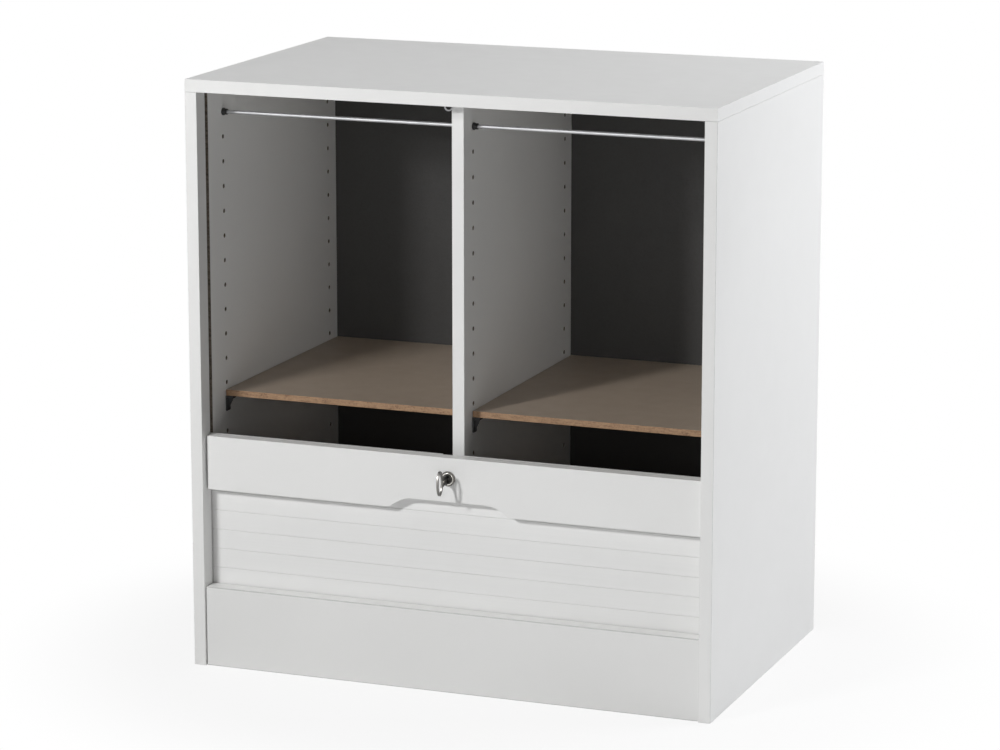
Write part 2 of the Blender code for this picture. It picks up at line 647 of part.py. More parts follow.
def cam_outline():
    """The hook cam (x, z) in its unlocked place: a hub, an arm and a finger bent round the axis."""
    arm = math.radians(HOOK_ARM_ANGLE)
    tip = math.radians(HOOK_TIP_ANGLE)
    spread = math.asin(CAM_ARM_WIDTH / 2 / CAM_HUB_RADIUS)
    lean_in = math.asin(CAM_ARM_WIDTH / 2 / HOOK_INNER_RADIUS)
    lean_out = math.asin(CAM_ARM_WIDTH / 2 / HOOK_OUTER_RADIUS)
    stretches = (
        (CAM_HUB_RADIUS, arm + spread, arm - spread + 2 * math.pi),
        (HOOK_INNER_RADIUS, arm - lean_in, tip),
        (HOOK_OUTER_RADIUS, tip, arm + lean_out),
    )
    points = []
    for radius, start, end in stretches:
        for i in range(BEND_STEPS + 1):
            angle = start + (end - start) * i / BEND_STEPS
            points.append((radius * math.cos(angle), LOCK_Z + radius * math.sin(angle)))
    return points


def make_plug(lock):
    """What the key turns: the plug with its key slot, the hook cam and the cam's screw."""
    radius, square = PLUG_DIAMETER / 2, square_radius(CAM_SQUARE)
    plug = bmesh.new()
    shoulder_y = HOUSING_REAR_Y
    rings = ((PLUG_FRONT_Y, radius), (shoulder_y, radius), (shoulder_y, square), (CAM_REAR_Y, square))
    loft(plug, [ring_along_y(y, r) for y, r in rings])
    plug = add("lock_plug", plug, NICKEL, lock)
    smooth(plug)
    tools = bmesh.new()
    slot_x = KEY_THICKNESS / 2 + LOCK_CLEARANCE
    slot_z = KEY_BLADE_HEIGHT / 2 + LOCK_CLEARANCE
    slot_y = (PLUG_FRONT_Y - SEAM, KEY_TIP_Y + LOCK_CLEARANCE)
    box(tools, (-slot_x, slot_x), slot_y, (LOCK_Z - slot_z, LOCK_Z + slot_z))
    hole_radius = CAM_SCREW_DIAMETER / 2 + SEAM
    hole_y = (CAM_SCREW_TIP_Y - SEAM, CAM_REAR_Y + SEAM)
    loft(tools, [ring_along_y(y, hole_radius, ROD_STEPS) for y in hole_y])
    cut(plug, tools, lock)

    cam = bmesh.new()
    prism(cam, [(x, CAM_FRONT_Y, z) for x, z in cam_outline()], (0, CAM_THICKNESS, 0))
    cam = add("hook_cam", cam, STEEL, lock)
    tools = bmesh.new()
    square_hole = square_radius(CAM_SQUARE + 2 * LOCK_CLEARANCE)
    loft(tools, [ring_along_y(y, square_hole) for y in (CAM_FRONT_Y - SEAM, CAM_REAR_Y + SEAM)])
    cut(cam, tools, lock)

    screw = bmesh.new()
    rings = screw_profile(
        CAM_SCREW_TIP_Y, CAM_REAR_Y + SEAM, CAM_SCREW_DIAMETER, CAM_SCREW_HEAD_DIAMETER, CAM_SCREW_HEAD
    )
    loft(screw, [ring_along_y(y, r, ROD_STEPS) for y, r in rings])
    smooth(add("cam_screw", screw, STEEL, lock))


def make_key(lock):
    """A flat key: a blade in the plug's slot and an oval ring for a bow."""
    half = KEY_BLADE_HEIGHT / 2
    meet = math.asin(half / (BOW_HEIGHT / 2))
    outline = [(KEY_TIP_Y, -half), (KEY_TIP_Y, half)]
    for i in range(ROUND_STEPS + 1):
        angle = meet + (2 * math.pi - 2 * meet) * i / ROUND_STEPS
        outline.append((BOW_Y + BOW_LENGTH / 2 * math.cos(angle), BOW_HEIGHT / 2 * math.sin(angle)))
    key = bmesh.new()
    x = -KEY_THICKNESS / 2
    prism(key, [(x, y, LOCK_Z + z) for y, z in outline], (KEY_THICKNESS, 0, 0))
    key = add("key", key, NICKEL, lock)
    tools = bmesh.new()
    hole = []
    for i in range(ROUND_STEPS):
        angle = 2 * math.pi * i / ROUND_STEPS
        y = BOW_Y + (BOW_LENGTH / 2 - BOW_RIM) * math.cos(angle)
        hole.append((x - SEAM, y, LOCK_Z + (BOW_HEIGHT / 2 - BOW_RIM) * math.sin(angle)))
    prism(tools, hole, (KEY_THICKNESS + 2 * SEAM, 0, 0))
    cut(key, tools, lock)


def keeper_legs():
    """Where the keeper's two legs enter the top (x, y)."""
    turn = math.radians(KEEPER_TURN)
    reach = KEEPER_WIDTH / 2
    return [
        (KEEPER_X + side * reach * math.cos(turn), KEEPER_Y + side * reach * math.sin(turn))
        for side in (-1, 1)
    ]


def make_keeper(carcass):
    """A bent wire loop under the top, which the hook cam reaches over."""
    turn = math.radians(KEEPER_TURN)
    radius = KEEPER_WIDTH / 2
    centre_z = TOP_UNDER_Z - KEEPER_DROP + KEEPER_WIRE / 2 + radius
    path = [(-radius, TOP_UNDER_Z + KEEPER_LEG)]
    for i in range(BEND_STEPS + 1):
        angle = math.pi * (1 + i / BEND_STEPS)
        path.append((radius * math.cos(angle), centre_z + radius * math.sin(angle)))
    path.append((radius, TOP_UNDER_Z + KEEPER_LEG))
    rings = []
    for i, (across, z) in enumerate(path):
        before, after = Vector(path[max(i - 1, 0)]), Vector(path[min(i + 1, len(path) - 1)])
        along = (after - before).normalized()
        ring = []
        for k in range(PEG_STEPS):
            angle = 2 * math.pi * k / PEG_STEPS
            side = KEEPER_WIRE / 2 * math.cos(angle)
            depth = KEEPER_WIRE / 2 * math.sin(angle)
            s = across - along.y * side
            ring.append((
                KEEPER_X + s * math.cos(turn) - depth * math.sin(turn),
                KEEPER_Y + s * math.sin(turn) + depth * math.cos(turn),
                z + along.x * side,
            ))
        rings.append(ring)
    keeper = bmesh.new()
    loft(keeper, rings)
    smooth(add("keeper", keeper, CHROME, carcass))


def main():
    clear_scene()
    to_middle = Vector((0, (KEY_REACH - CABINET_DEPTH) / 2, 0))
    carcass = Group("carcass_frame", (0, 0, 0), shift=to_middle)
    curtain = Group("curtain_frame", (0, RAIL_FRONT_Y, RAIL_REST_Z), carcass)
    lock = Group("lock_axis", (0, RAIL_FRONT_Y, LOCK_Z), curtain)

    make_carcass(carcass)
    for column, sign in (("left", -1), ("right", 1)):
        make_shelf(f"{column}_upper_shelf", sign, UPPER_SHELF_ROW, carcass)
        make_shelf(f"{column}_lower_shelf", sign, LOWER_SHELF_ROW, carcass)
        make_rod(f"{column}_front_rod", sign, PEG_FRONT_Y, carcass)
        make_rod(f"{column}_rear_rod", sign, PEG_REAR_Y, carcass)
    make_keeper(carcass)
    make_stowed_curtain(carcass)

    make_curtain(curtain)
    make_lock_housing(curtain)
    make_plug(lock)
    make_key(lock)


main()
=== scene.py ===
import json
import math

import bmesh
import bpy
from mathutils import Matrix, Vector


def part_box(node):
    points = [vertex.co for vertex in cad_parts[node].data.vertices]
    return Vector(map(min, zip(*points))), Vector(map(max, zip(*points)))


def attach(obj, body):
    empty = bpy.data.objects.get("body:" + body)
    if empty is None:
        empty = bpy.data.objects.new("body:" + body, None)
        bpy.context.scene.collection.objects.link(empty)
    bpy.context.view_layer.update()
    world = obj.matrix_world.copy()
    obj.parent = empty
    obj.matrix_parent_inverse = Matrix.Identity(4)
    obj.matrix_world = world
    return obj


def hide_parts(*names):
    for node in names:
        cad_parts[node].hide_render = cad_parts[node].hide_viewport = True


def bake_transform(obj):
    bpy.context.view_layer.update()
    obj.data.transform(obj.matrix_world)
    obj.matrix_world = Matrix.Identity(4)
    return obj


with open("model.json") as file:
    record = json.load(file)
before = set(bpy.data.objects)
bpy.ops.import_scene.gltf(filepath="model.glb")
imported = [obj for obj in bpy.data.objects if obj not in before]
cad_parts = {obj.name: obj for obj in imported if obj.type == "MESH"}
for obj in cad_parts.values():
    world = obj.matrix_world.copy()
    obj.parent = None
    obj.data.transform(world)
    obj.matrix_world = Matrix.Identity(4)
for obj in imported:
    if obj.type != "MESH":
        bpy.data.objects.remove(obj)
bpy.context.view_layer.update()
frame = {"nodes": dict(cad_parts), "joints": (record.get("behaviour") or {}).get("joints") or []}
scene = bpy.context.scene
scene.view_settings.view_transform = "Standard"
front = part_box("left_side")[0].y  # plane of the sides' front edges
print("frame loaded:", len(frame["nodes"]), "nodes")


# camera, floor and lamps

photoCamera = {
    "place": (1.709, -4.4339, 1.4158), "tiltDown": 12.435, "turn": 21.165,
    "focalPixels": 3771.3, "frameWidth": 1000, "sensor": 36, "farClip": 200,
}


def addObject(name, data):
    added = bpy.data.objects.new(name, data)
    scene.collection.objects.link(added)
    return added


def middleOf(node):
    return [(low + high) / 2 for low, high in zip(*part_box(node))]


def aimCamera(settings):
    lens = bpy.data.cameras.new("photoCamera")
    lens.sensor_width = settings["sensor"]
    lens.lens = settings["focalPixels"] / settings["frameWidth"] * settings["sensor"]
    lens.clip_end = settings["farClip"]
    camera = addObject("photoCamera", lens)
    camera.location = settings["place"]
    tilt = math.radians(90 - settings["tiltDown"])
    camera.rotation_euler = (tilt, 0, math.radians(settings["turn"]))
    scene.camera = camera


def addNode(tree, kind, inputs=None, **settings):
    node = tree.nodes.new(kind)
    for name, value in settings.items():
        setattr(node, name, value)
    for socket, value in (inputs or {}).items():
        if isinstance(value, bpy.types.NodeSocket):
            tree.links.new(value, node.inputs[socket])
        else:
            node.inputs[socket].default_value = value
    return node


def seenDirectly(tree):  # 1 for camera, mirror and glass rays
    path = addNode(tree, "ShaderNodeLightPath").outputs
    either = addNode(tree, "ShaderNodeMath", {0: path["Is Camera Ray"], 1: path["Is Glossy Ray"]},
                     operation="MAXIMUM")
    return addNode(tree, "ShaderNodeMath", {0: either.outputs[0], 1: path["Is Transmission Ray"]},
                   operation="MAXIMUM").outputs[0]


studio = {
    "ambient": 0.093,
    "white": 1.0,  # strength that renders as plain white
    "floorRadius": 20.0, "floorSteps": 64, "floorTone": 0.84,
    "whiteNear": 0.86,  # share of plain white under the cabinet
    "fadeFrom": 0.40, "fadeTo": 0.70,
}
lamps = {
    "keyLamp": {"place": (-0.80, -1.95, 1.28), "aim": (0, -0.2, 0.45), "size": (0.2, 0.2), "power": 17.0},
    "farFill": {"place": (-2.7, -6.1, 3.6), "aim": (0, -0.2, 0.35), "size": (0.5, 0.5), "power": 101},
    "viewFill": {"place": (0.9, -3.6, 1.05), "aim": (0, -0.2, 0.35), "size": (1.2, 0.8), "power": 10.2},
    "rightFill": {"place": (1.9, 0.9, 1.4), "aim": (0.35, 0.1, 0.4), "size": (1.0, 1.0), "power": 30.4,
                  "colour": (0.965, 0.975, 1.0), "glare": False},
    "topFill": {"place": (0.75, 0.75, 2.1), "aim": (0.1, 0.1, 0.76), "size": (0.8, 0.8), "power": 5.2},
}


def makeStudio(settings):
    world = bpy.data.worlds.new("paleStudio")
    world.use_nodes = True
    scene.world = world
    tree = world.node_tree
    tree.nodes.clear()
    soft = addNode(tree, "ShaderNodeBackground", {"Color": (1, 1, 1, 1), "Strength": settings["ambient"]})
    white = addNode(tree, "ShaderNodeBackground", {"Color": (1, 1, 1, 1), "Strength": settings["white"]})
    both = addNode(tree, "ShaderNodeMixShader",
                   {0: seenDirectly(tree), 1: soft.outputs[0], 2: white.outputs[0]})
    addNode(tree, "ShaderNodeOutputWorld", {"Surface": both.outputs[0]})

    shape = bmesh.new()
    bmesh.ops.create_circle(shape, cap_ends=True, segments=settings["floorSteps"],
                            radius=settings["floorRadius"])
    mesh = bpy.data.meshes.new("paleFloor")
    shape.to_mesh(mesh)
    shape.free()
    floor = addObject("paleFloor", mesh)
    finish = bpy.data.materials.new("paleFloor")
    finish.use_nodes = True
    tree = finish.node_tree
    tree.nodes.clear()
    tone = settings["floorTone"]
    matt = addNode(tree, "ShaderNodeBsdfDiffuse", {"Color": (tone, tone, tone, 1)})
    glow = addNode(tree, "ShaderNodeEmission", {"Color": (1, 1, 1, 1), "Strength": settings["white"]})
    away = addNode(tree, "ShaderNodeVectorMath", operation="LENGTH")
    tree.links.new(addNode(tree, "ShaderNodeTexCoord").outputs["Object"], away.inputs[0])
    share = addNode(tree, "ShaderNodeMapRange", {
        "Value": away.outputs["Value"], "From Min": settings["fadeFrom"], "From Max": settings["fadeTo"],
        "To Min": settings["whiteNear"], "To Max": 1.0,
    }, interpolation_type="SMOOTHSTEP")
    seen = addNode(tree, "ShaderNodeMixShader",
                   {0: share.outputs[0], 1: matt.outputs[0], 2: glow.outputs[0]})
    both = addNode(tree, "ShaderNodeMixShader",
                   {0: seenDirectly(tree), 1: matt.outputs[0], 2: seen.outputs[0]})
    addNode(tree, "ShaderNodeOutputMaterial", {"Surface": both.outputs[0]})
    mesh.materials.append(finish)


def hangLamps(settings):
    for name, lamp in settings.items():
        light = bpy.data.lights.new(name, "AREA")
        light.shape = "RECTANGLE"
        light.size, light.size_y = lamp["size"]
        light.energy = lamp["power"]
        light.color = lamp.get("colour", (1, 1, 1))
        hung = addObject(name, light)
        hung.location = lamp["place"]
        way = Vector(lamp["aim"]) - Vector(lamp["place"])
        hung.rotation_euler = way.to_track_quat("-Z", "Y").to_euler()
        hung.visible_camera = False
        hung.visible_glossy = lamp.get("glare", True)


aimCamera(photoCamera)
makeStudio(studio)
hangLamps(lamps)
print("camera, floor and lamps set")


# finishes

def startFinish(name, metallic=0.0):
    finish = bpy.data.materials.new(name)
    finish.use_nodes = True
    tree = finish.node_tree
    shader = tree.nodes["Principled BSDF"]
    shader.inputs["Metallic"].default_value = metallic
    return finish, tree, shader, addNode(tree, "ShaderNodeTexCoord").outputs["Object"]


def stretched(tree, place, scale):
    return addNode(tree, "ShaderNodeMapping", {"Vector": place, "Scale": scale}).outputs[0]


def cloud(tree, place, scale, detail=3.0):
    noise = addNode(tree, "ShaderNodeTexNoise", {"Vector": place, "Scale": scale, "Detail": detail})
    return noise.outputs[0]


def between(tree, value, low, high, start=0.3, end=0.7):
    return addNode(tree, "ShaderNodeMapRange", {
        "Value": value, "From Min": start, "From Max": end, "To Min": low, "To Max": high}).outputs[0]


def tones(tree, value, stops, colours):
    ramp = addNode(tree, "ShaderNodeValToRGB", {0: value})
    bar = ramp.color_ramp
    while len(bar.elements) < len(stops):
        bar.elements.new(0.5)
    for stop, at, colour in zip(bar.elements, stops, colours):
        stop.position = at
        stop.color = (*colour, 1)
    return ramp.outputs[0]


def mixed(tree, share, one, two):
    return addNode(tree, "ShaderNodeMix", {0: share, 6: one, 7: two}, data_type="RGBA").outputs[2]


def sumOf(tree, one, two, share):  # one + two * share
    return addNode(tree, "ShaderNodeMath", {0: two, 1: share, 2: one}, operation="MULTIPLY_ADD").outputs[0]


def coat(tree, shader, colour, roughness, height, bump):
    lift = addNode(tree, "ShaderNodeBump", {"Height": height, "Strength": bump[0], "Distance": bump[1]})
    for value, socket in ((colour, "Base Color"), (roughness, "Roughness"), (lift.outputs[0], "Normal")):
        tree.links.new(value, shader.inputs[socket])


melamines = {
    "whiteMelamine": {"light": (0.835, 0.835, 0.825), "shade": (0.795, 0.795, 0.785)},
    "bandSeam": {"light": (0.73, 0.73, 0.72), "shade": (0.68, 0.68, 0.67)},
    # plinthMelamine is the white melamine made darker: painted shade for light falling off towards the
    # floor
    "plinthMelamine": {"light": (0.80, 0.80, 0.79), "shade": (0.76, 0.76, 0.75)},
    "plinthEdge": {"light": (0.62, 0.62, 0.61), "shade": (0.56, 0.56, 0.55)},
    # edgeBand is an edge band made lighter than the faces: partly painted light from above on tops
    "edgeBand": {"light": (0.93, 0.93, 0.92), "shade": (0.90, 0.90, 0.89)},
    "shelfFacing": {"light": (0.41, 0.335, 0.265), "shade": (0.35, 0.28, 0.22), "pebble": 700.0},
}
melamineGrain = {
    "broad": 2.2, "pebble": 850.0, "pebbleDetail": 2.0, "pebbleShare": 0.25, "haze": 38.0,
    "stops": (0.45, 0.8), "roughness": (0.37, 0.47),
    "bump": (0.10, 0.0002),  # strength and depth
}


def makeMelamine(name, look):
    grain = melamineGrain
    finish, tree, shader, place = startFinish(name)
    broad = cloud(tree, place, grain["broad"])
    fine = cloud(tree, place, look.get("pebble", grain["pebble"]), grain["pebbleDetail"])
    tone = sumOf(tree, broad, fine, grain["pebbleShare"])
    colour = tones(tree, tone, grain["stops"], (look["shade"], look["light"]))
    worn = between(tree, cloud(tree, place, grain["haze"]), *grain["roughness"])
    coat(tree, shader, colour, worn, fine, grain["bump"])
    return finish


slatLook = {
    "light": (0.825, 0.825, 0.815), "shade": (0.785, 0.785, 0.778), "stops": (0.45, 0.9), "broad": 3.0,
    "streak": (6.0, 420.0, 420.0), "streakDetail": 4.0, "streakShare": 0.35,
    "roughness": (0.33, 0.45), "bump": (0.12, 0.0002),
}


def makeSlatPlastic(look):
    finish, tree, shader, place = startFinish("slatPlastic")
    lines = cloud(tree, stretched(tree, place, look["streak"]), 1.0, look["streakDetail"])
    tone = sumOf(tree, cloud(tree, place, look["broad"]), lines, look["streakShare"])
    colour = tones(tree, tone, look["stops"], (look["shade"], look["light"]))
    coat(tree, shader, colour, between(tree, lines, *look["roughness"]), lines, look["bump"])
    return finish


fibreBoards = {
    "shelfBoard": {"chip": 520.0, "pale": (0.39, 0.245, 0.142), "brown": (0.29, 0.172, 0.096),
                   "dark": (0.158, 0.087, 0.045)},
    # rawChipboard: raw board in grooves, peg holes and the lock bore, darker than raw chipboard as painted
    # shade in these recesses
    "rawChipboard": {"chip": 380.0, "pale": (0.21, 0.175, 0.14), "brown": (0.13, 0.105, 0.082),
                     "dark": (0.06, 0.048, 0.038)},
}
fibreGrain = {
    "fibre": (40.0, 160.0, 220.0), "fibreScale": 2.0, "fibreDetail": 5.0,
    "chipShare": 0.30, "stops": (0.38, 0.58, 0.85), "patch": 9.0, "patchShare": 0.22,
    "roughness": (0.58, 0.78), "bump": (0.35, 0.0003),
}


def makeFibreBoard(name, look):
    grain = fibreGrain
    finish, tree, shader, place = startFinish(name)
    flakes = addNode(tree, "ShaderNodeTexVoronoi",
                     {"Vector": place, "Scale": look["chip"], "Randomness": 1.0})
    shade = addNode(tree, "ShaderNodeSeparateColor", {0: flakes.outputs["Color"]}).outputs[0]
    fibres = cloud(tree, stretched(tree, place, grain["fibre"]), grain["fibreScale"], grain["fibreDetail"])
    tone = sumOf(tree, fibres, shade, grain["chipShare"])
    colour = tones(tree, tone, grain["stops"], (look["dark"], look["brown"], look["pale"]))
    patches = between(tree, cloud(tree, place, grain["patch"]), 0.0, grain["patchShare"])
    colour = mixed(tree, patches, colour, (*look["pale"], 1))
    coat(tree, shader, colour, between(tree, shade, *grain["roughness"], 0.0, 1.0), tone, grain["bump"])
    return finish


backLook = {
    "inside": (0.034, 0.033, 0.032), "insidePale": (0.052, 0.049, 0.045),
    "insideShare": 0.35, "insideRange": (0.5, 1.0),
    "outside": ((0.232, 0.145, 0.080), (0.30, 0.19, 0.105), (0.345, 0.224, 0.130)),
    "stops": (0.62, 0.9, 1.0),
    "middleY": 0.2245,  # where the inside's tone ends
    "fibre": 420.0, "fibreDetail": 5.0, "patch": 14.0, "patchDetail": 4.0, "patchShare": 0.5,
    "streak": (260.0, 40.0, 90.0), "streakDetail": 4.0, "streakShare": 0.4,
    "roughness": (0.5, 0.72), "bump": (0.25, 0.0002),
}


def makeHardboard(look):
    finish, tree, shader, place = startFinish("backHardboard")
    depth = addNode(tree, "ShaderNodeSeparateXYZ", {0: place}).outputs["Y"]
    behind = addNode(tree, "ShaderNodeMath", {0: depth, 1: look["middleY"]}, operation="GREATER_THAN")
    fibre = cloud(tree, place, look["fibre"], look["fibreDetail"])
    patch = cloud(tree, place, look["patch"], look["patchDetail"])
    tone = sumOf(tree, fibre, patch, look["patchShare"])
    inside = mixed(tree, between(tree, tone, 0.0, look["insideShare"], *look["insideRange"]),
                   (*look["inside"], 1), (*look["insidePale"], 1))
    lines = cloud(tree, stretched(tree, place, look["streak"]), 1.0, look["streakDetail"])
    streaked = sumOf(tree, tone, lines, look["streakShare"])
    brown = tones(tree, streaked, look["stops"], look["outside"])
    colour = mixed(tree, behind.outputs[0], inside, brown)
    coat(tree, shader, colour, between(tree, fibre, *look["roughness"]), tone, look["bump"])
    return finish


metals = {  # light, shade, roughness from and to, scale of the marks, and where painted shade darkens it in Y
    "rodChrome": ((0.52, 0.52, 0.53), (0.42, 0.43, 0.44), 0.46, 0.58, (60, 900, 900)),
    # ringNickel is a bright copy of the lock's nickel: painted highlight
    "ringNickel": ((0.84, 0.82, 0.77), (0.66, 0.64, 0.60), 0.12, 0.26, (700, 200, 700)),
    # lockNickel is darkened nickel: painted dark reflection on the flange and nut
    "lockNickel": ((0.20, 0.19, 0.175), (0.10, 0.095, 0.088), 0.16, 0.32, (700, 200, 700)),
    # plugNickel is nickel coloured near black: painted shade and painted dark reflection
    "plugNickel": ((0.13, 0.127, 0.12), (0.05, 0.049, 0.047), 0.20, 0.38, (700, 200, 700)),
    # keySteel's last column paints shade on the key's neck, darker towards the rail
    "keySteel": ((0.31, 0.30, 0.285), (0.14, 0.136, 0.13), 0.30, 0.44, (700, 300, 300),
                 (front - 0.012, front - 0.005)),
    "zincSteel": ((0.62, 0.63, 0.64), (0.46, 0.46, 0.45), 0.26, 0.44, (500, 500, 500)),
}
metalGrain = {
    "markDetail": 4.0, "markRange": (0.4, 1.0), "haze": 55.0, "hazeShare": 0.4,
    # colour and share of the painted shade on the key's neck
    "paintedShadeColour": (0.02, 0.02, 0.019, 1), "paintedShadeShare": 0.80, "bump": (0.10, 0.0001),
}


def makeMetal(name, light, shade, smooth, rough, marks, paintedShadeAlong=None):
    grain = metalGrain
    finish, tree, shader, place = startFinish(name, 1.0)
    mark = cloud(tree, stretched(tree, place, marks), 1.0, grain["markDetail"])
    haze = cloud(tree, place, grain["haze"])
    colour = mixed(tree, between(tree, haze, 0.0, 1.0), (*shade, 1), (*light, 1))
    if paintedShadeAlong:  # painted shade: darker towards the back, from one Y to another
        depth = addNode(tree, "ShaderNodeSeparateXYZ", {0: place}).outputs["Y"]
        share = between(tree, depth, 0.0, grain["paintedShadeShare"], *paintedShadeAlong)
        colour = mixed(tree, share, colour, grain["paintedShadeColour"])
    worn = between(tree, sumOf(tree, mark, haze, grain["hazeShare"]), smooth, rough, *grain["markRange"])
    coat(tree, shader, colour, worn, mark, grain["bump"])
    return finish


plastics = {  # light, shade, roughness from and to, scale of the pebbling
    "blackPlastic": ((0.022, 0.022, 0.023), (0.010, 0.010, 0.010), 0.36, 0.50, 900.0),
    "blackNylon": ((0.026, 0.026, 0.027), (0.014, 0.014, 0.014), 0.42, 0.55, 700.0),
}
plasticGrain = {"pitDetail": 3.0, "haze": 60.0, "bump": (0.2, 0.0001)}


def makePlastic(name, light, shade, smooth, rough, pebble):
    grain = plasticGrain
    finish, tree, shader, place = startFinish(name)
    pits = cloud(tree, place, pebble, grain["pitDetail"])
    haze = between(tree, cloud(tree, place, grain["haze"]), 0.0, 1.0)
    colour = mixed(tree, haze, (*shade, 1), (*light, 1))
    coat(tree, shader, colour, between(tree, pits, smooth, rough), pits, grain["bump"])
    return finish


whiteMelamine, bandSeam, plinthMelamine, plinthEdge, edgeBand, shelfFacing = (
    makeMelamine(name, look) for name, look in melamines.items())
slatPlastic = makeSlatPlastic(slatLook)
shelfBoard, rawChipboard = (makeFibreBoard(name, look) for name, look in fibreBoards.items())
backHardboard = makeHardboard(backLook)
rodChrome, ringNickel, lockNickel, plugNickel, keySteel, zincSteel = (
    makeMetal(name, *look) for name, look in metals.items())
blackPlastic, blackNylon = (makePlastic(name, *look) for name, look in plastics.items())
print("finishes made")


# shaping helpers

def addPrism(shape, outline, reach):  # a flat outline swept along a vector
    near = [shape.verts.new(point) for point in outline]
    far = [shape.verts.new(Vector(point) + Vector(reach)) for point in outline]
    shape.faces.new(near)
    shape.faces.new(far[::-1])
    for i in range(len(near)):
        j = (i + 1) % len(near)
        shape.faces.new((near[i], far[i], far[j], near[j]))


def addBox(shape, low, high):
    x, y, z = zip(low, high)
    outline = [(x[0], y[0], z[0]), (x[1], y[0], z[0]), (x[1], y[1], z[0]), (x[0], y[1], z[0])]
    addPrism(shape, outline, (0, 0, z[1] - z[0]))


def addLoft(shape, rings, ringShaped=False):  # rings joined into one closed body
    loops = [[shape.verts.new(point) for point in ring] for ring in rings]
    pairs = list(zip(loops, loops[1:]))
    if ringShaped:
        pairs.append((loops[-1], loops[0]))
    else:
        shape.faces.new(loops[0])
        shape.faces.new(loops[-1][::-1])
    for one, two in pairs:
        for i in range(len(one)):
            j = (i + 1) % len(one)
            shape.faces.new((one[i], two[i], two[j], one[j]))


def addTurned(shape, profile, centre, axis, steps, ringShaped=False):
    rings = []
    for along, radius in profile:
        ring = []
        for i in range(steps):
            angle = 2 * math.pi * i / steps
            side, rise = radius * math.cos(angle), radius * math.sin(angle)
            offset = (along, side, rise) if axis == "x" else (side, along, rise)
            ring.append(Vector(centre) + Vector(offset))
        rings.append(ring)
    addLoft(shape, rings, ringShaped)


cornerShare = 0.48  # most of a side that one round corner takes


def rounded(points, radius, steps=3, closed=False):  # corners of a flat outline taken round
    line = [Vector(point) for point in points]
    out = []
    for i, here in enumerate(line):
        if not closed and i in (0, len(line) - 1):
            out.append(tuple(here))
            continue
        back, ahead = line[i - 1] - here, line[(i + 1) % len(line)] - here
        reach = min(radius, back.length * cornerShare, ahead.length * cornerShare)
        start, end = here + back.normalized() * reach, here + ahead.normalized() * reach
        for k in range(steps + 1):
            t = k / steps
            out.append(tuple(start * (1 - t) ** 2 + here * 2 * t * (1 - t) + end * t ** 2))
    return out


def pieceFrom(shape, name, finish):
    bmesh.ops.recalc_face_normals(shape, faces=shape.faces)
    mesh = bpy.data.meshes.new(name)
    shape.to_mesh(mesh)
    shape.free()
    mesh.materials.append(finish)
    return addObject(name, mesh)


def solid(name, finish, add, *form):  # a piece from one of the shaping helpers above
    shape = bmesh.new()
    add(shape, *form)
    return pieceFrom(shape, name, finish)


def settle(piece):  # modifiers become plain mesh
    seen = piece.evaluated_get(bpy.context.evaluated_depsgraph_get())
    mesh = bpy.data.meshes.new_from_object(seen)
    mesh.name = piece.name
    piece.modifiers.clear()
    old = piece.data
    piece.data = mesh
    bpy.data.meshes.remove(old)


def discard(helper):
    bpy.data.objects.remove(helper)


def soften(piece, width, steps=3, angle=40.0, seam=None):  # rounded arrises, with a seam's finish
    bevel = piece.modifiers.new("softArris", "BEVEL")
    bevel.width = width
    bevel.segments = steps
    if seam:
        piece.data.materials.append(seam)
        bevel.material = len(piece.data.materials) - 1
    bevel.limit_method = "ANGLE"
    bevel.angle_limit = math.radians(angle)
    settle(piece)


def smoothShade(piece, angle=35.0):  # flats stay flat, curves are smooth
    piece.data.shade_smooth()
    piece.data.set_sharp_from_angle(angle=math.radians(angle))
    weighted = piece.modifiers.new("evenNormals", "WEIGHTED_NORMAL")
    weighted.keep_sharp = True
    settle(piece)


def cutAway(piece, cutter):
    step = piece.modifiers.new("cutAway", "BOOLEAN")
    step.operation = "DIFFERENCE"
    step.solver = "EXACT"
    step.object = cutter
    settle(piece)
    discard(cutter)


def seat(piece, body, slot, *standsFor):
    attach(piece, body)
    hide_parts(*standsFor)


# geometry node trees

def startTree(name, **sockets):
    tree = bpy.data.node_groups.new(name, "GeometryNodeTree")
    tree.interface.new_socket("Geometry", in_out="INPUT", socket_type="NodeSocketGeometry")
    for label, kind in sockets.items():
        tree.interface.new_socket(label, in_out="INPUT", socket_type="NodeSocket" + kind)
    tree.interface.new_socket("Geometry", in_out="OUTPUT", socket_type="NodeSocketGeometry")
    return tree, tree.nodes.new("NodeGroupInput").outputs


def endTree(tree, geometry, inputs, selection=None):  # realize, set material, out
    real = addNode(tree, "GeometryNodeRealizeInstances", {"Geometry": geometry})
    painted = addNode(tree, "GeometryNodeSetMaterial",
                      {"Geometry": real.outputs[0], "Material": inputs["Material"]})
    if selection:
        tree.links.new(selection, painted.inputs["Selection"])
    addNode(tree, "NodeGroupOutput", {0: painted.outputs[0]})
    return tree


def shapeOf(tree, socket):
    return addNode(tree, "GeometryNodeObjectInfo", {"Object": socket}).outputs["Geometry"]


def runTree(piece, tree, **values):
    step = piece.modifiers.new(tree.name, "NODES")
    step.node_group = tree
    for item in tree.interface.items_tree:
        if item.in_out == "INPUT" and item.name in values:
            step[item.identifier] = values[item.name]
    settle(piece)


def columnDown(tree, count, pitch, start=(0, 0, 0)):  # points one under the other
    down = addNode(tree, "ShaderNodeMath", {0: pitch, 1: -1.0}, operation="MULTIPLY")
    step = addNode(tree, "ShaderNodeCombineXYZ", {"Z": down.outputs[0]})
    return addNode(tree, "GeometryNodeMeshLine", {
        "Count": count, "Start Location": start, "Offset": step.outputs[0]}).outputs[0]


def copiesAt(tree, points, instance, **more):
    return addNode(tree, "GeometryNodeInstanceOnPoints",
                   {"Points": points, "Instance": instance, **more}).outputs[0]


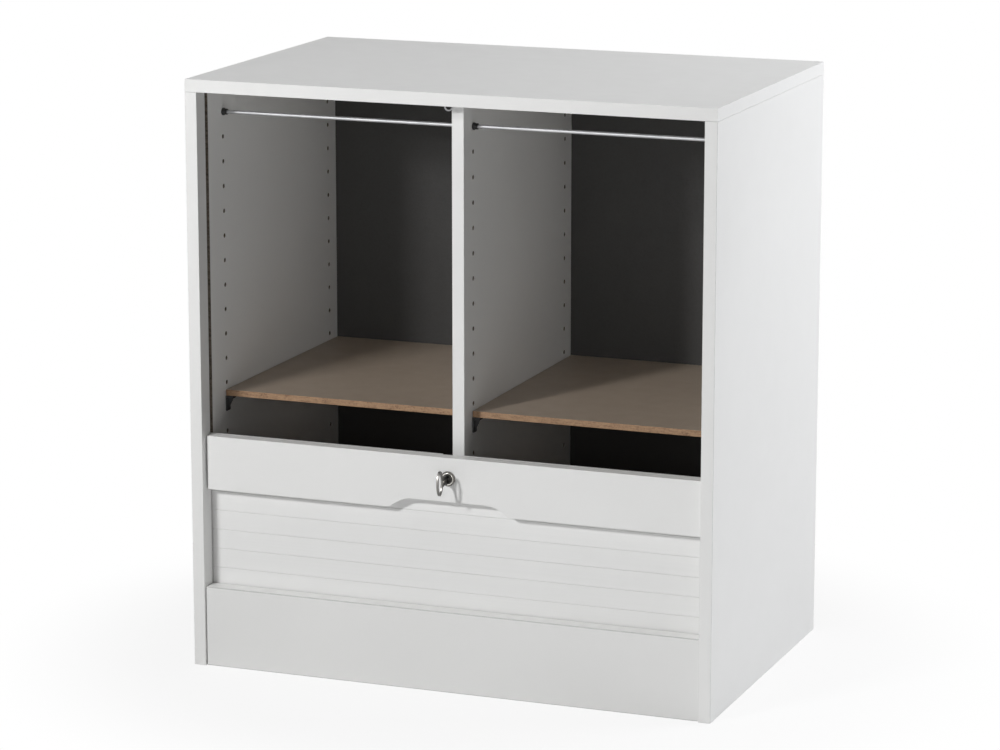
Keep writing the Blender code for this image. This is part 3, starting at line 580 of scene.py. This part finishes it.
def makePegTree():  # two columns of holes and a groove in a board
    tree, inputs = startTree("peggedBoard", Drill="Object", Groove="Object", Rows="Int", Pitch="Float",
                             First="Vector", Columns="Float", Material="Material")
    column = columnDown(tree, inputs["Rows"], inputs["Pitch"], inputs["First"])
    drills = copiesAt(tree, column, shapeOf(tree, inputs["Drill"]))
    apart = addNode(tree, "ShaderNodeCombineXYZ", {"Y": inputs["Columns"]})
    rear = addNode(tree, "GeometryNodeTransform", {"Geometry": drills, "Translation": apart.outputs[0]})
    both = addNode(tree, "GeometryNodeJoinGeometry", {0: drills})
    tree.links.new(rear.outputs[0], both.inputs[0])
    tools = addNode(tree, "GeometryNodeRealizeInstances", {"Geometry": both.outputs[0]})
    cut = addNode(tree, "GeometryNodeMeshBoolean",
                  {"Mesh 1": inputs["Geometry"], "Mesh 2": tools.outputs[0]},
                  operation="DIFFERENCE", solver="EXACT")
    tree.links.new(shapeOf(tree, inputs["Groove"]), cut.inputs["Mesh 2"])
    index = addNode(tree, "GeometryNodeInputMaterialIndex")
    faced = addNode(tree, "FunctionNodeCompare", {2: index.outputs[0], 3: 0},
                    data_type="INT", operation="EQUAL")
    return endTree(tree, cut.outputs["Mesh"], inputs, faced.outputs[0])


def makeStackTree():  # slats one above the other
    tree, inputs = startTree("slatStack", Count="Int", Pitch="Float", Material="Material")
    line = columnDown(tree, inputs["Count"], inputs["Pitch"])
    return endTree(tree, copiesAt(tree, line, inputs["Geometry"]), inputs)


def makeTrackTree():  # slats along a curved track
    tree, inputs = startTree("slatTrack", Slat="Object", Pitch="Float", Material="Material")
    path = addNode(tree, "GeometryNodeMeshToCurve", {"Mesh": inputs["Geometry"]})
    places = addNode(tree, "GeometryNodeCurveToPoints",
                     {"Curve": path.outputs[0], "Length": inputs["Pitch"]}, mode="LENGTH")
    back = addNode(tree, "ShaderNodeVectorMath", {0: places.outputs["Tangent"], "Scale": -1.0},
                   operation="SCALE")
    turn = addNode(tree, "FunctionNodeAlignRotationToVector", {"Vector": back.outputs[0]},
                   axis="Z", pivot_axis="X")
    rows = copiesAt(tree, places.outputs["Points"], shapeOf(tree, inputs["Slat"]), Rotation=turn.outputs[0])
    return endTree(tree, rows, inputs)


def makePlacesTree():  # one fitting at each place, turned about Z
    tree, inputs = startTree("fittingPlaces", Fitting="Object", Material="Material")
    facing = addNode(tree, "GeometryNodeInputNamedAttribute", {"Name": "facing"}, data_type="FLOAT")
    angle = addNode(tree, "ShaderNodeCombineXYZ", {"Z": facing.outputs["Attribute"]})
    turn = addNode(tree, "FunctionNodeEulerToRotation", {0: angle.outputs[0]})
    copies = copiesAt(tree, inputs["Geometry"], shapeOf(tree, inputs["Fitting"]), Rotation=turn.outputs[0])
    return endTree(tree, copies, inputs)


pegTree = makePegTree()
stackTree = makeStackTree()
trackTree = makeTrackTree()
placesTree = makePlacesTree()


def fitCopies(name, fitting, places, finish):  # places: (x, y, z, facing angle)
    mesh = bpy.data.meshes.new(name)
    mesh.from_pydata([place[:3] for place in places], [], [])
    facing = mesh.attributes.new("facing", "FLOAT", "POINT")
    for i, place in enumerate(places):
        facing.data[i].value = place[3]
    piece = addObject(name, mesh)
    runTree(piece, placesTree, Fitting=fitting, Material=finish)
    discard(fitting)
    return piece


# carcass boards

boards = {
    "arris": 0.0005, "topArris": 0.0002, "plinthArris": 0.0012, "shelfArris": 0.0004, "backArris": 0.0003,
    "bandAndLightFacing": 0.99,  # how squarely a face looks up to get the edge band and its painted light
    "facingTilt": 0.9,  # the same for a shelf's facing
    "arrisTilt": 0.2,  # the same for an arris that loses the seam's finish
}
pegHoles = {
    "rows": 18, "pitch": 0.032, "radius": 0.0025, "depth": 0.0105,
    "flare": 0.0004,  # chamfer at the mouth
    "tip": (0.5, 0.1),  # the drill's point: length and width in radii
    "steps": 20,
}
track = {
    "fromFront": 0.0289,
    "width": 0.007,
    "frontPlay": 0.0014,  # more room in front of the slats
    "depth": 0.0075,
    "lowZ": 0.010, "frontBend": 0.060, "rearBend": 0.0365, "rearBendY": 0.365, "endY": 0.250,
    "steps": 24,
}
overcut = 0.0004  # how far a cutter stands out of what it cuts


def makeBoard(name, finish, arris, node, seam=None):
    piece = solid(name, finish, addBox, *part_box(node))
    soften(piece, arris, seam=seam)
    return piece


def repaint(piece, way, tilt, index):  # another finish for the faces that look this way
    for face in piece.data.polygons:
        if face.normal.dot(Vector(way)) > tilt:
            face.material_index = index


def bandTopWithPaintedLight(piece):  # the edge band on a board's top, lighter than the face: edge band and painted light from above
    piece.data.materials.append(edgeBand)
    repaint(piece, (0, 0, 1), boards["bandAndLightFacing"], len(piece.data.materials) - 1)


def arc(centre, radius, start, end, steps):  # (y, z), degrees from +Y towards +Z
    turns = [math.radians(start + (end - start) * i / steps) for i in range(steps + 1)]
    return [(centre[0] + radius * math.cos(a), centre[1] + radius * math.sin(a)) for a in turns]


def trackLine(outset, top, startAngle=180.0):  # the track in YZ, moved outwards
    y, low, steps = front + track["fromFront"], track["lowZ"], track["steps"]
    bend, rear = track["frontBend"], track["rearBend"]
    rearY = front + track["rearBendY"]
    line = [(y - outset, top)] if top else []
    line += arc((y + bend, low + bend), bend + outset, startAngle, 270, steps)
    line += arc((rearY, low + rear), rear + outset, 270, 450, 2 * steps)
    line.append((front + track["endY"], low + 2 * rear + outset))
    return line


def grooveOutline(top):  # the groove, with its straight feed to the foot
    half, y = track["width"] / 2, front + track["fromFront"]
    reach = track["frontBend"] + half
    meet = 180 + math.degrees(math.acos((track["frontBend"] - half) / reach))
    lip = y - half - track["frontPlay"]
    outline = [(lip, top), (lip, -overcut), (y + half, -overcut)]
    return outline + trackLine(half, None, meet) + trackLine(-half, top)[::-1]


def makeDrill(length, sign, through=False):
    flare, radius = pegHoles["flare"], pegHoles["radius"]
    profile = [(-overcut, radius + flare + overcut), (flare, radius), (length, radius)]
    if through:
        profile[2:] = [(length - flare, radius), (length + overcut, radius + flare + overcut)]
    else:
        profile.append((length + radius * pegHoles["tip"][0], radius * pegHoles["tip"][1]))
    profile = [(sign * along, out) for along, out in profile]
    return solid("drill", rawChipboard, addTurned, profile, (0, 0, 0), "x", pegHoles["steps"])


def drillBoard(piece, faceX, sign, groove=None, through=None):
    rod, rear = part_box("left_front_rod"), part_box("left_rear_rod")
    first = Vector((faceX, *middleOf("left_front_rod")[1:]))
    drill = makeDrill(through or pegHoles["depth"], sign, bool(through))
    values = {"Groove": groove} if groove else {}
    runTree(piece, pegTree, Drill=drill, Rows=pegHoles["rows"], Pitch=pegHoles["pitch"], First=first,
            Columns=rear[0].y - rod[0].y, Material=whiteMelamine, **values)
    discard(drill)


def makeSide(name, node, sign):
    low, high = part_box(node)
    inner = low.x if sign > 0 else high.x
    side = makeBoard(name, whiteMelamine, boards["arris"], node, bandSeam)
    repaint(side, (0, 0, 1), boards["arrisTilt"], 0)
    outline = [(inner - sign * overcut, y, z) for y, z in grooveOutline(high.z + overcut)]
    reach = (sign * (track["depth"] + overcut), 0, 0)
    groove = solid("groove", rawChipboard, addPrism, outline, reach)
    drillBoard(side, inner, sign, groove)
    discard(groove)
    seat(side, "carcass", "melamine", node)


makeSide("leftSide", "left_side", -1)
makeSide("rightSide", "right_side", 1)
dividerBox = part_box("divider")
divider = makeBoard("dividerBoard", whiteMelamine, boards["arris"], "divider", bandSeam)
drillBoard(divider, dividerBox[0].x, 1, through=dividerBox[1].x - dividerBox[0].x)
seat(divider, "carcass", "melamine", "divider")
plainBoards = {"topBoard": "top_panel", "floorBoard": "floor_panel", "rearStretcher": "rear_stretcher"}
for name, node in plainBoards.items():
    seat(makeBoard(name, whiteMelamine, boards["topArris"], node), "carcass", "melamine", node)
plinth = makeBoard("plinthBoard", plinthMelamine, boards["plinthArris"], "plinth", plinthEdge)
repaint(plinth, (1, 0, 0), boards["arrisTilt"], 0)
bandTopWithPaintedLight(plinth)
seat(plinth, "carcass", "melamine", "plinth")
backBoard = makeBoard("backBoard", backHardboard, boards["backArris"], "back_panel")
seat(backBoard, "carcass", "back_board", "back_panel")
shelves = [f"{column}_{level}_shelf" for column in ("left", "right") for level in ("upper", "lower")]
for node in shelves:
    name = "shelf" + "".join(word.title() for word in node.split("_")[:2])
    shelf = makeBoard(name, shelfBoard, boards["shelfArris"], node)
    shelf.data.materials.append(shelfFacing)
    for face in shelf.data.polygons:
        face.material_index = int(abs(face.normal.z) > boards["facingTilt"])
    seat(shelf, "carcass", "shelf_board", node)
print("carcass boards made")


# fittings inside

shelfSupport = {
    "off": 0.0003,  # gap to the wall
    "drop": 0.005, "rise": 0.0150, "plate": 0.0022, "ledge": 0.003, "reach": 0.011, "width": 0.010,
    "rib": 0.0022,
    "ribSpan": (0.5, 0.85),  # from this share of the drop to this of the reach
    "fillet": 0.0015,
    "sink": 0.0004,  # how far the rib and peg run into the plate
    "pegRadius": 0.0020, "pegLength": 0.0072, "pegSteps": 16,
    "round": 0.0006, "arris": 0.00025,
}
rodHolder = {
    "pegRadius": 0.0020, "pegLength": 0.0072, "off": 0.0003, "flange": 0.00475, "flangeDepth": 0.0025,
    "barrel": 0.0040, "mouth": 0.0037, "bore": 0.0029, "length": 0.007, "floor": 0.002,
    "round": 0.0005, "steps": 28,
}
fileRod = {"chamfer": 0.0005, "steps": 24}
pegTip = {"lead": 0.0006, "share": 0.7}  # the tapered end of every peg


def pegEnd(size):
    length, radius = size["pegLength"], size["pegRadius"]
    return [(-length, radius * pegTip["share"]), (pegTip["lead"] - length, radius)]


def wallPlaces(kind, nodes):  # where fittings of a kind meet their walls
    walls = {"inner": dividerBox, "outer": (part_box("left_side")[1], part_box("right_side")[0])}
    places = []
    for node in nodes:
        column = -1 if node.startswith("left") else 1
        for wall, (low, high) in walls.items():
            faceX = low.x if column < 0 else high.x
            inward = column if wall == "inner" else -column
            for name in frame["nodes"]:
                if name.startswith(f"{node}_{kind}_{wall}"):
                    places.append((faceX, middleOf(name)[1], 0.0 if inward > 0 else math.pi, name))
    return places


def makeSupport(size):
    off, plate = size["off"], size["off"] + size["plate"]
    under = size["rise"] - size["ledge"]
    fillet, root, half = size["fillet"], plate - size["sink"], size["width"] / 2
    outline = rounded([(off, -size["drop"]), (plate, -size["drop"]), (plate, under - fillet),
                       (plate + fillet, under), (size["reach"], under), (size["reach"], size["rise"]),
                       (off, size["rise"])], size["round"], closed=True)
    shape = bmesh.new()
    addPrism(shape, [(x, -half, z) for x, z in outline], (0, size["width"], 0))
    ribLow, ribReach = -size["drop"] * size["ribSpan"][0], size["reach"] * size["ribSpan"][1]
    ribTop = under + size["sink"]
    rib = [(root, ribLow), (plate, ribLow), (ribReach, ribTop), (root, ribTop)]
    addPrism(shape, [(x, -size["rib"] / 2, z) for x, z in rib], (0, size["rib"], 0))
    peg = pegEnd(size) + [(root, size["pegRadius"])]
    addTurned(shape, peg, (0, 0, 0), "x", size["pegSteps"])
    support = pieceFrom(shape, "support", blackNylon)
    soften(support, size["arris"], 2)
    return support


supportAt = wallPlaces("support", shelves)
supportSpots = [(x, y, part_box(name)[0].z + shelfSupport["drop"], turn) for x, y, turn, name in supportAt]
shelfSupports = fitCopies("shelfSupports", makeSupport(shelfSupport), supportSpots, blackNylon)
seat(shelfSupports, "carcass", "support_nylon", *[place[3] for place in supportAt])


def makeHolder(size):
    off, flange, barrel = size["off"], size["flange"], size["barrel"]
    profile = pegEnd(size) + [(off, size["pegRadius"])]
    profile += rounded([(off, size["pegRadius"]), (off, flange), (size["flangeDepth"], flange),
                        (size["flangeDepth"], barrel), (size["length"], size["mouth"]),
                        (size["length"], size["bore"]), (size["floor"], size["bore"])], size["round"])[1:]
    return solid("holder", blackPlastic, addTurned, profile, (0, 0, 0), "x", size["steps"])


rods = [f"{column}_{end}_rod" for column in ("left", "right") for end in ("front", "rear")]
holderAt = wallPlaces("holder", rods)
rodZ = middleOf(rods[0])[2]
holderSpots = [(x, y, rodZ, turn) for x, y, turn, name in holderAt]
rodHolders = fitCopies("rodHolders", makeHolder(rodHolder), holderSpots, blackPlastic)
smoothShade(rodHolders)
seat(rodHolders, "carcass", "black_plastic", *[place[3] for place in holderAt])

rodLow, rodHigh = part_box(rods[0])
rodHalf, rodRadius = (rodHigh.x - rodLow.x) / 2, (rodHigh.z - rodLow.z) / 2
chamfer = fileRod["chamfer"]
rodProfile = [(-rodHalf, rodRadius - chamfer), (chamfer - rodHalf, rodRadius),
              (rodHalf - chamfer, rodRadius), (rodHalf, rodRadius - chamfer)]
rod = solid("rod", rodChrome, addTurned, rodProfile, (0, 0, 0), "x", fileRod["steps"])
rodSpots = [(*middleOf(node), 0.0) for node in rods]
fileRods = fitCopies("fileRods", rod, rodSpots, rodChrome)
smoothShade(fileRods)
seat(fileRods, "carcass", "chrome", *rods)

keeperLoop = {
    "wire": 0.0010, "turn": 45.0, "width": 0.010, "bendSteps": 20, "wireSteps": 14, "smooth": 60.0,
}


def makeKeeper(size):
    low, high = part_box("keeper")
    middle = (low + high) / 2
    turn, reach, wire = math.radians(size["turn"]), size["width"] / 2, size["wire"]
    centreZ = low.z + wire + reach
    path = [(-reach, high.z)] + arc((0, centreZ), reach, 180, 360, size["bendSteps"]) + [(reach, high.z)]
    rings = []
    for i, (across, z) in enumerate(path):
        before, after = Vector(path[max(i - 1, 0)]), Vector(path[min(i + 1, len(path) - 1)])
        along = (after - before).normalized()
        ring = []
        for k in range(size["wireSteps"]):
            angle = 2 * math.pi * k / size["wireSteps"]
            side, depth = wire * math.cos(angle), wire * math.sin(angle)
            run = across - along.y * side
            ring.append((middle.x + run * math.cos(turn) - depth * math.sin(turn),
                         middle.y + run * math.sin(turn) + depth * math.cos(turn), z + along.x * side))
        rings.append(ring)
    keeper = solid("keeperLoop", rodChrome, addLoft, rings)
    smoothShade(keeper, size["smooth"])
    seat(keeper, "carcass", "chrome", "keeper")


makeKeeper(keeperLoop)
print("fittings made")


# curtain of slats

slatSize = {
    "pitch": 0.0253, "thick": 0.0036,
    "line": 0.00015,  # open line between two slats
    "solidLine": 0.0006,  # the same line between the frame's slats
    "tongue": 0.0045, "tongueThick": 0.0014, "play": 0.0003,
    "lip": 0.6,  # share of the shoulder behind the face's rounding
    "round": 0.0011, "roundSteps": 4, "topRound": 0.0005,
}
lockNotch = {"half": 0.0147, "steps": 32, "over": 0.001}  # opening in the carrier round the lock
curtainRun = {
    "front": 5,  # slats seen under the carrier
    "reserve": 18,  # slats drawn up out of the base
    "reserveLow": 0.0700,
    "stowAngle": 45.0,  # where the stowed slats begin on the front bend
    "halvings": 48,
}


def slatPiece(name, middleY, bottom, height, plainTop=False):  # one slat, from its lower joint up
    low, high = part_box("slat_1")
    half, size = (high.x - low.x) / 2, slatSize
    line, shoulder, tongue = size["line"] / 2, size["thick"] - size["tongueThick"], size["tongue"]
    lip, middle = shoulder * size["lip"], height / 2
    face = rounded([(lip, line), (0, line), (0, height - line), (lip, height - line)],
                   size["round"], size["roundSteps"])
    back = [(size["thick"], tongue + size["play"]), (shoulder - size["play"], tongue + size["play"]),
            (shoulder - size["play"], line)]
    if plainTop:
        top = rounded([(0, middle), (0, height), (size["thick"], height), (size["thick"], middle)],
                      size["topRound"])
        outline = face[:len(face) // 2] + top[1:-1] + back
    else:
        hook = [(shoulder, height - line), (shoulder, height + tongue), (size["thick"], height + tongue)]
        outline = face + hook + back
    outline = [(-half, middleY + y - size["thick"] / 2, bottom + z) for y, z in outline]
    return solid(name, slatPlastic, addPrism, outline, (2 * half, 0, 0))


slatY, pitch = middleOf("slat_1")[1], slatSize["pitch"]
carrierLow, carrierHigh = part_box("carrier_slat")
firstJoint = carrierLow.z - slatSize["solidLine"] / 2
carrier = slatPiece("carrierSlat", slatY, firstJoint, carrierHigh.z - firstJoint, True)
lockZ = middleOf("lock_plug")[2]
notch = arc((0, lockZ), lockNotch["half"], 180, 360, lockNotch["steps"])
over, notchTop = lockNotch["over"], carrierHigh.z + lockNotch["over"]
notch += [(lockNotch["half"], notchTop), (-lockNotch["half"], notchTop)]
notch = [(x, carrierLow.y - over, z) for x, z in notch]
cutAway(carrier, solid("lockNotch", slatPlastic, addPrism, notch, (0, slatSize["thick"] + 2 * over, 0)))
seat(carrier, "curtain", "slat_plastic", "carrier_slat")
curtainSlats = slatPiece("curtainSlats", slatY, firstJoint - pitch, pitch)
runTree(curtainSlats, stackTree, Count=curtainRun["front"], Pitch=pitch, Material=slatPlastic)
seat(curtainSlats, "curtain", "slat_plastic", "slat_1", "slat_2", "slat_3", "slat_4")

travel = next(joint for joint in frame["joints"] if joint["name"] == "curtain_slide")["range_m"][1]
visibleLow = firstJoint - curtainRun["front"] * pitch
reserve = slatPiece("reserveSlats", slatY, visibleLow + travel - pitch, pitch)
runTree(reserve, stackTree, Count=curtainRun["reserve"], Pitch=pitch, Material=slatPlastic)


def restHeight(closedZ, low, high):  # where a point of the closed curtain waits at rest
    one, two = low, high
    for _ in range(curtainRun["halvings"]):
        middle = (one + two) / 2
        t = (middle - low) / (high - low)
        if middle + travel * t * t * (3 - 2 * t) < closedZ:
            one = middle
        else:
            two = middle
    return (one + two) / 2


restTop = visibleLow + slatSize["tongue"]
for vertex in reserve.data.vertices:
    vertex.co.z = restHeight(vertex.co.z, curtainRun["reserveLow"], restTop)
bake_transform(reserve)
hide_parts("stowed_curtain")

outset = front + track["fromFront"] - slatY
stowLine = trackLine(outset, None, 180 + curtainRun["stowAngle"])
mesh = bpy.data.meshes.new("stowedSlats")
mesh.from_pydata([(0, y, z) for y, z in stowLine], [(i, i + 1) for i in range(len(stowLine) - 1)], [])
stowed = addObject("stowedSlats", mesh)
oneSlat = slatPiece("oneSlat", 0, -pitch / 2, pitch)
runTree(stowed, trackTree, Slat=oneSlat, Pitch=pitch, Material=slatPlastic)
discard(oneSlat)
seat(stowed, "carcass", "slat_plastic", "stowed_curtain")
print("slats made, travel", round(travel, 4))


# front rail

railSize = {
    "arris": 0.0010, "arrisAngle": 50.0, "smooth": 32.0,
    "notchWidth": 0.160, "notchFlat": 0.102, "notchHeight": 0.0132, "slopeSteps": 28,
    "bore": 0.0083, "boreSteps": 40,
}


def makeRail(size):
    low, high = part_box("front_rail")
    slope, rise = (size["notchWidth"] - size["notchFlat"]) / 2, []
    for i in range(size["slopeSteps"] + 1):
        part = i / size["slopeSteps"]
        lift = size["notchHeight"] * math.sin(math.pi / 2 * part)
        rise.append((size["notchWidth"] / 2 - slope * part, low.z + lift))
    outline = [(high.x, low.z), (high.x, high.z), (low.x, high.z), (low.x, low.z)]
    outline += [(-x, z) for x, z in rise] + rise[::-1]
    outline = [(x, low.y, z) for x, z in outline]
    rail = solid("frontRail", whiteMelamine, addPrism, outline, (0, high.y - low.y, 0))
    bore = [(low.y - overcut, size["bore"]), (high.y + overcut, size["bore"])]
    cutAway(rail, solid("bore", rawChipboard, addTurned, bore, (0, 0, lockZ), "y", size["boreSteps"]))
    soften(rail, size["arris"], 3, size["arrisAngle"])
    bandTopWithPaintedLight(rail)
    smoothShade(rail, size["smooth"])
    seat(rail, "curtain", "melamine", "front_rail")


makeRail(railSize)
print("rail made")


# lock and key

lockSize = {
    "steps": 56, "smooth": 28.0, "round": 0.0004,
    "body": 0.0080, "boreGap": 0.0003, "seatGap": 0.0003,
    "faceRing": 0.0012,  # ring round the plug that gets the painted highlight
    "ringSlope": (0.0003, 0.0004),  # back and out
    "faceSlope": (0.0004, 0.0016),  # back, and in from the rim
    "rimDrop": 0.0014, "brightPlay": 0.0002,
    "threadFrom": 0.001, "threadPitch": 0.0009, "threadDepth": 0.00045,
}
plugSize = {
    "steps": 56, "smooth": 28.0, "round": 0.0006,
    "eye": (0.0004, 0.0010),  # dished face: depth and radius
    "dish": (0.0002, 0.62),  # depth, and share of the plug's radius
    "dishRim": 0.68, "tail": 0.0034, "slotPlay": 0.0003, "slotOver": 0.001,
}
keySize = {
    "thick": 0.0022, "bladeHalf": 0.0038,
    "bladeGap": 0.0006,  # from the plug's face to the blade's shoulder
    "toe": (0.0022, 0.2), "toeUnder": (0.0016, 0.0006),  # slanted end of the blade
    "neckHalf": 0.0066, "neckSpan": (0.0010, 0.0035), "waistHalf": 0.0050,
    "rim": 0.0032, "bowLength": 0.018, "bowSteps": 48,
    "bitting": (0.0011, 0.0004, 0.0018, 0.0009, 0.0015), "bittingEnds": 1.2,
    "cutShape": ((0.0, 0.0), (0.32, 1.0), (0.62, 1.0), (0.94, 0.0)),  # along a pitch, share of the depth
    "arris": 0.0004, "arrisAngle": 50.0, "smooth": 35.0,
    "grooveHalf": 0.0013, "grooveDepth": 0.0005,  # milled along both faces
    "grooveStart": 0.3,  # share of the rim that it runs into
    "grooveCore": 0.9, "floorPlay": 1.05,
}
screwSize = {
    "steps": 24, "seatGap": 0.0003,
    "point": (0.2, 1.6),  # width and length in shank radii
    "dome": ((0.55, 0.94), (1.0, 0.55), (1.0, 0.05)),  # shares of the head's height and radius
    "domeRound": 0.3,
    "cross": 0.0009, "crossDepth": 0.0009, "crossReach": 0.55, "crossOver": 0.001,
}
railScrewSize = {"length": 0.0140, "headRadius": 0.0035, "head": 0.0016, "shank": 0.00175}
camScrewSize = {"length": 0.0085, "headRadius": 0.0045, "head": 0.0020, "shank": 0.00175}
railFront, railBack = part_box("front_rail")[0].y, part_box("front_rail")[1].y


def makeHousing(size):
    low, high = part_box("lock_housing")
    flange, body = (high.x - low.x) / 2, size["body"]
    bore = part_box("lock_plug")[1].x + size["boreGap"]
    seatY, ring = railFront - size["seatGap"], bore + size["faceRing"]
    profile = rounded([(high.y, bore), (low.y, bore), (low.y, ring),
                       (low.y + size["ringSlope"][0], ring + size["ringSlope"][1]),
                       (low.y + size["faceSlope"][0], flange - size["faceSlope"][1]),
                       (low.y + size["rimDrop"], flange), (seatY, flange), (seatY, body)], size["round"])
    y, pitch, root = railBack - size["threadFrom"], size["threadPitch"], body - size["threadDepth"]
    profile.append((y, body))
    while y + pitch < high.y:
        profile += [(y + pitch / 2, root), (y + pitch, body)]
        y += pitch
    profile.append((high.y, root))
    housing = solid("lockHousing", lockNickel, addTurned, profile, (0, 0, lockZ), "y", size["steps"], True)
    housing.data.materials.append(ringNickel)
    brightEdge = ring + size["brightPlay"]
    # faces of the ring in front of the rail get the painted highlight, the rest the painted dark reflection
    for face in housing.data.polygons:
        fromAxis = math.hypot(face.center.x, face.center.z - lockZ)
        face.material_index = int(face.center.y < railFront and fromAxis < brightEdge)
    smoothShade(housing, size["smooth"])
    seat(housing, "curtain", "nickel", "lock_housing")


def makePlug(size):
    low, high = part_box("lock_plug")
    radius, housingEnd, tail = high.x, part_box("lock_housing")[1].y, size["tail"]
    profile = rounded([(low.y + size["eye"][0], size["eye"][1]),
                       (low.y + size["dish"][0], radius * size["dish"][1]),
                       (low.y, radius * size["dishRim"]), (low.y, radius), (housingEnd, radius),
                       (housingEnd, tail), (high.y, tail)], size["round"])
    plug = solid("lockPlug", plugNickel, addTurned, profile, (0, 0, lockZ), "y", size["steps"])
    play, keyHigh = size["slotPlay"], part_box("key")[1]
    half = Vector((keySize["thick"] / 2 + play, 0, keySize["bladeHalf"] + play))
    mouth, end = Vector((0, low.y - size["slotOver"], lockZ)), Vector((0, keyHigh.y + play, lockZ))
    cutAway(plug, solid("slot", plugNickel, addBox, mouth - half, end + half))
    smoothShade(plug, size["smooth"])
    seat(plug, "lock_barrel", "nickel", "lock_plug")


def oval(centreY, reach, half, start, sweep, steps):  # (y, z), in radians
    turns = [start + sweep * i / steps for i in range(steps + 1)]
    return [(centreY + reach * math.cos(a), half * math.sin(a)) for a in turns]


def keyOutline(size, high, plugFront, bowEnd, bow):  # (y, z) from the toe, over the bow and the bitting
    blade, shoulder = size["bladeHalf"], plugFront - size["bladeGap"]
    collar = [(plugFront - back, size["neckHalf"]) for back in size["neckSpan"]]
    collar.append(((plugFront + bowEnd) / 2, size["waistHalf"]))
    outline = [(high.y, -blade * size["toe"][1]), (high.y - size["toe"][0], blade), (shoulder, blade)]
    outline += collar + bow + [(y, -z) for y, z in collar[::-1]] + [(shoulder, -blade)]
    pitch = (high.y - plugFront) / (len(size["bitting"]) + size["bittingEnds"])
    for i, depth in enumerate(size["bitting"]):
        y = plugFront + pitch * (i + 0.5)
        for along, share in size["cutShape"]:
            outline.append((y + along * pitch, share * depth - blade))
    outline.append((high.y - size["toeUnder"][0], size["toeUnder"][1] - blade))
    return outline


def millKey(key, size, grooveFrom, high):  # a groove milled in each face, its floor painted bright as a painted highlight
    floorX = size["thick"] / 2 - size["grooveDepth"]
    for sign in (-1, 1):
        middle = Vector((sign * (floorX + size["thick"] / 2), (grooveFrom + high.y) / 2, lockZ))
        half = Vector((size["thick"] / 2, (high.y - grooveFrom) / 2 + overcut, size["grooveHalf"]))
        cutAway(key, solid("milling", ringNickel, addBox, middle - half, middle + half))
    key.data.materials.append(ringNickel)
    core = size["grooveHalf"] * size["grooveCore"]
    for face in key.data.polygons:
        milled = face.center.y > grooveFrom - overcut and abs(face.center.z - lockZ) < core
        face.material_index = int(milled and abs(face.center.x) < floorX * size["floorPlay"])


def makeKey(size):
    low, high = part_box("key")
    thick, rim, steps = size["thick"], size["rim"], size["bowSteps"]
    bowReach, bowHalf = size["bowLength"] / 2, (high.z - low.z) / 2
    bowY, meet = low.y + bowReach, math.asin(size["neckHalf"] / bowHalf)
    bowEnd = bowY + bowReach * math.cos(meet)
    bow = oval(bowY, bowReach, bowHalf, meet, 2 * math.pi - 2 * meet, steps)
    outline = keyOutline(size, high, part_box("lock_plug")[0].y, bowEnd, bow)
    outline = [(-thick / 2, y, lockZ + z) for y, z in outline]
    key = solid("lockKey", keySteel, addPrism, outline, (thick, 0, 0))
    hole = oval(bowY, bowReach - rim, bowHalf - rim, 0.0, 2 * math.pi, steps)[:-1]
    hole = [(-thick, y, lockZ + z) for y, z in hole]
    cutAway(key, solid("hole", keySteel, addPrism, hole, (2 * thick, 0, 0)))
    soften(key, size["arris"], 2, size["arrisAngle"])
    millKey(key, size, bowEnd - rim * size["grooveStart"], high)
    smoothShade(key, size["smooth"])
    seat(key, "key", "nickel", "key")


def screwShape(name, form, size):  # head towards +Y, seat at the origin
    length, headRadius, head, shank = (form[part] for part in ("length", "headRadius", "head", "shank"))
    profile = [(-length, shank * size["point"][0]), (-length + shank * size["point"][1], shank), (0, shank)]
    dome = [(head * rise, headRadius * out) for rise, out in size["dome"]]
    profile += rounded([(0, shank), (0, headRadius)] + dome, head * size["domeRound"])[1:]
    screw = solid(name, zincSteel, addTurned, profile, (0, 0, 0), "y", size["steps"])
    narrow, long = size["cross"] / 2, headRadius * size["crossReach"]
    for wide, tall in ((narrow, long), (long, narrow)):
        low, high = (-wide, head - size["crossDepth"], -tall), (wide, head + size["crossOver"], tall)
        cutAway(screw, solid("cross", zincSteel, addBox, low, high))
    return screw


makeHousing(lockSize)
makePlug(plugSize)
makeKey(keySize)
screwNodes = ["rail_screw_1", "rail_screw_2", "rail_screw_3"]
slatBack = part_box("slat_1")[1].y + screwSize["seatGap"]
screwSpots = [(middleOf(node)[0], slatBack, middleOf(node)[2], 0.0) for node in screwNodes]
railScrew = screwShape("railScrew", railScrewSize, screwSize)
railScrews = fitCopies("railScrews", railScrew, screwSpots, zincSteel)
smoothShade(railScrews)
seat(railScrews, "curtain", "steel", *screwNodes)

camScrew = screwShape("camScrew", camScrewSize, screwSize)
for vertex in camScrew.data.vertices:
    vertex.co += Vector((0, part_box("cam_screw")[1].y - camScrewSize["head"], lockZ))
smoothShade(camScrew)
seat(camScrew, "lock_barrel", "steel", "cam_screw")
for node, finish in (("hook_cam", zincSteel), ("lock_nut", lockNickel)):
    frame["nodes"][node].data.materials.clear()
    frame["nodes"][node].data.materials.append(finish)
print("lock and key made")
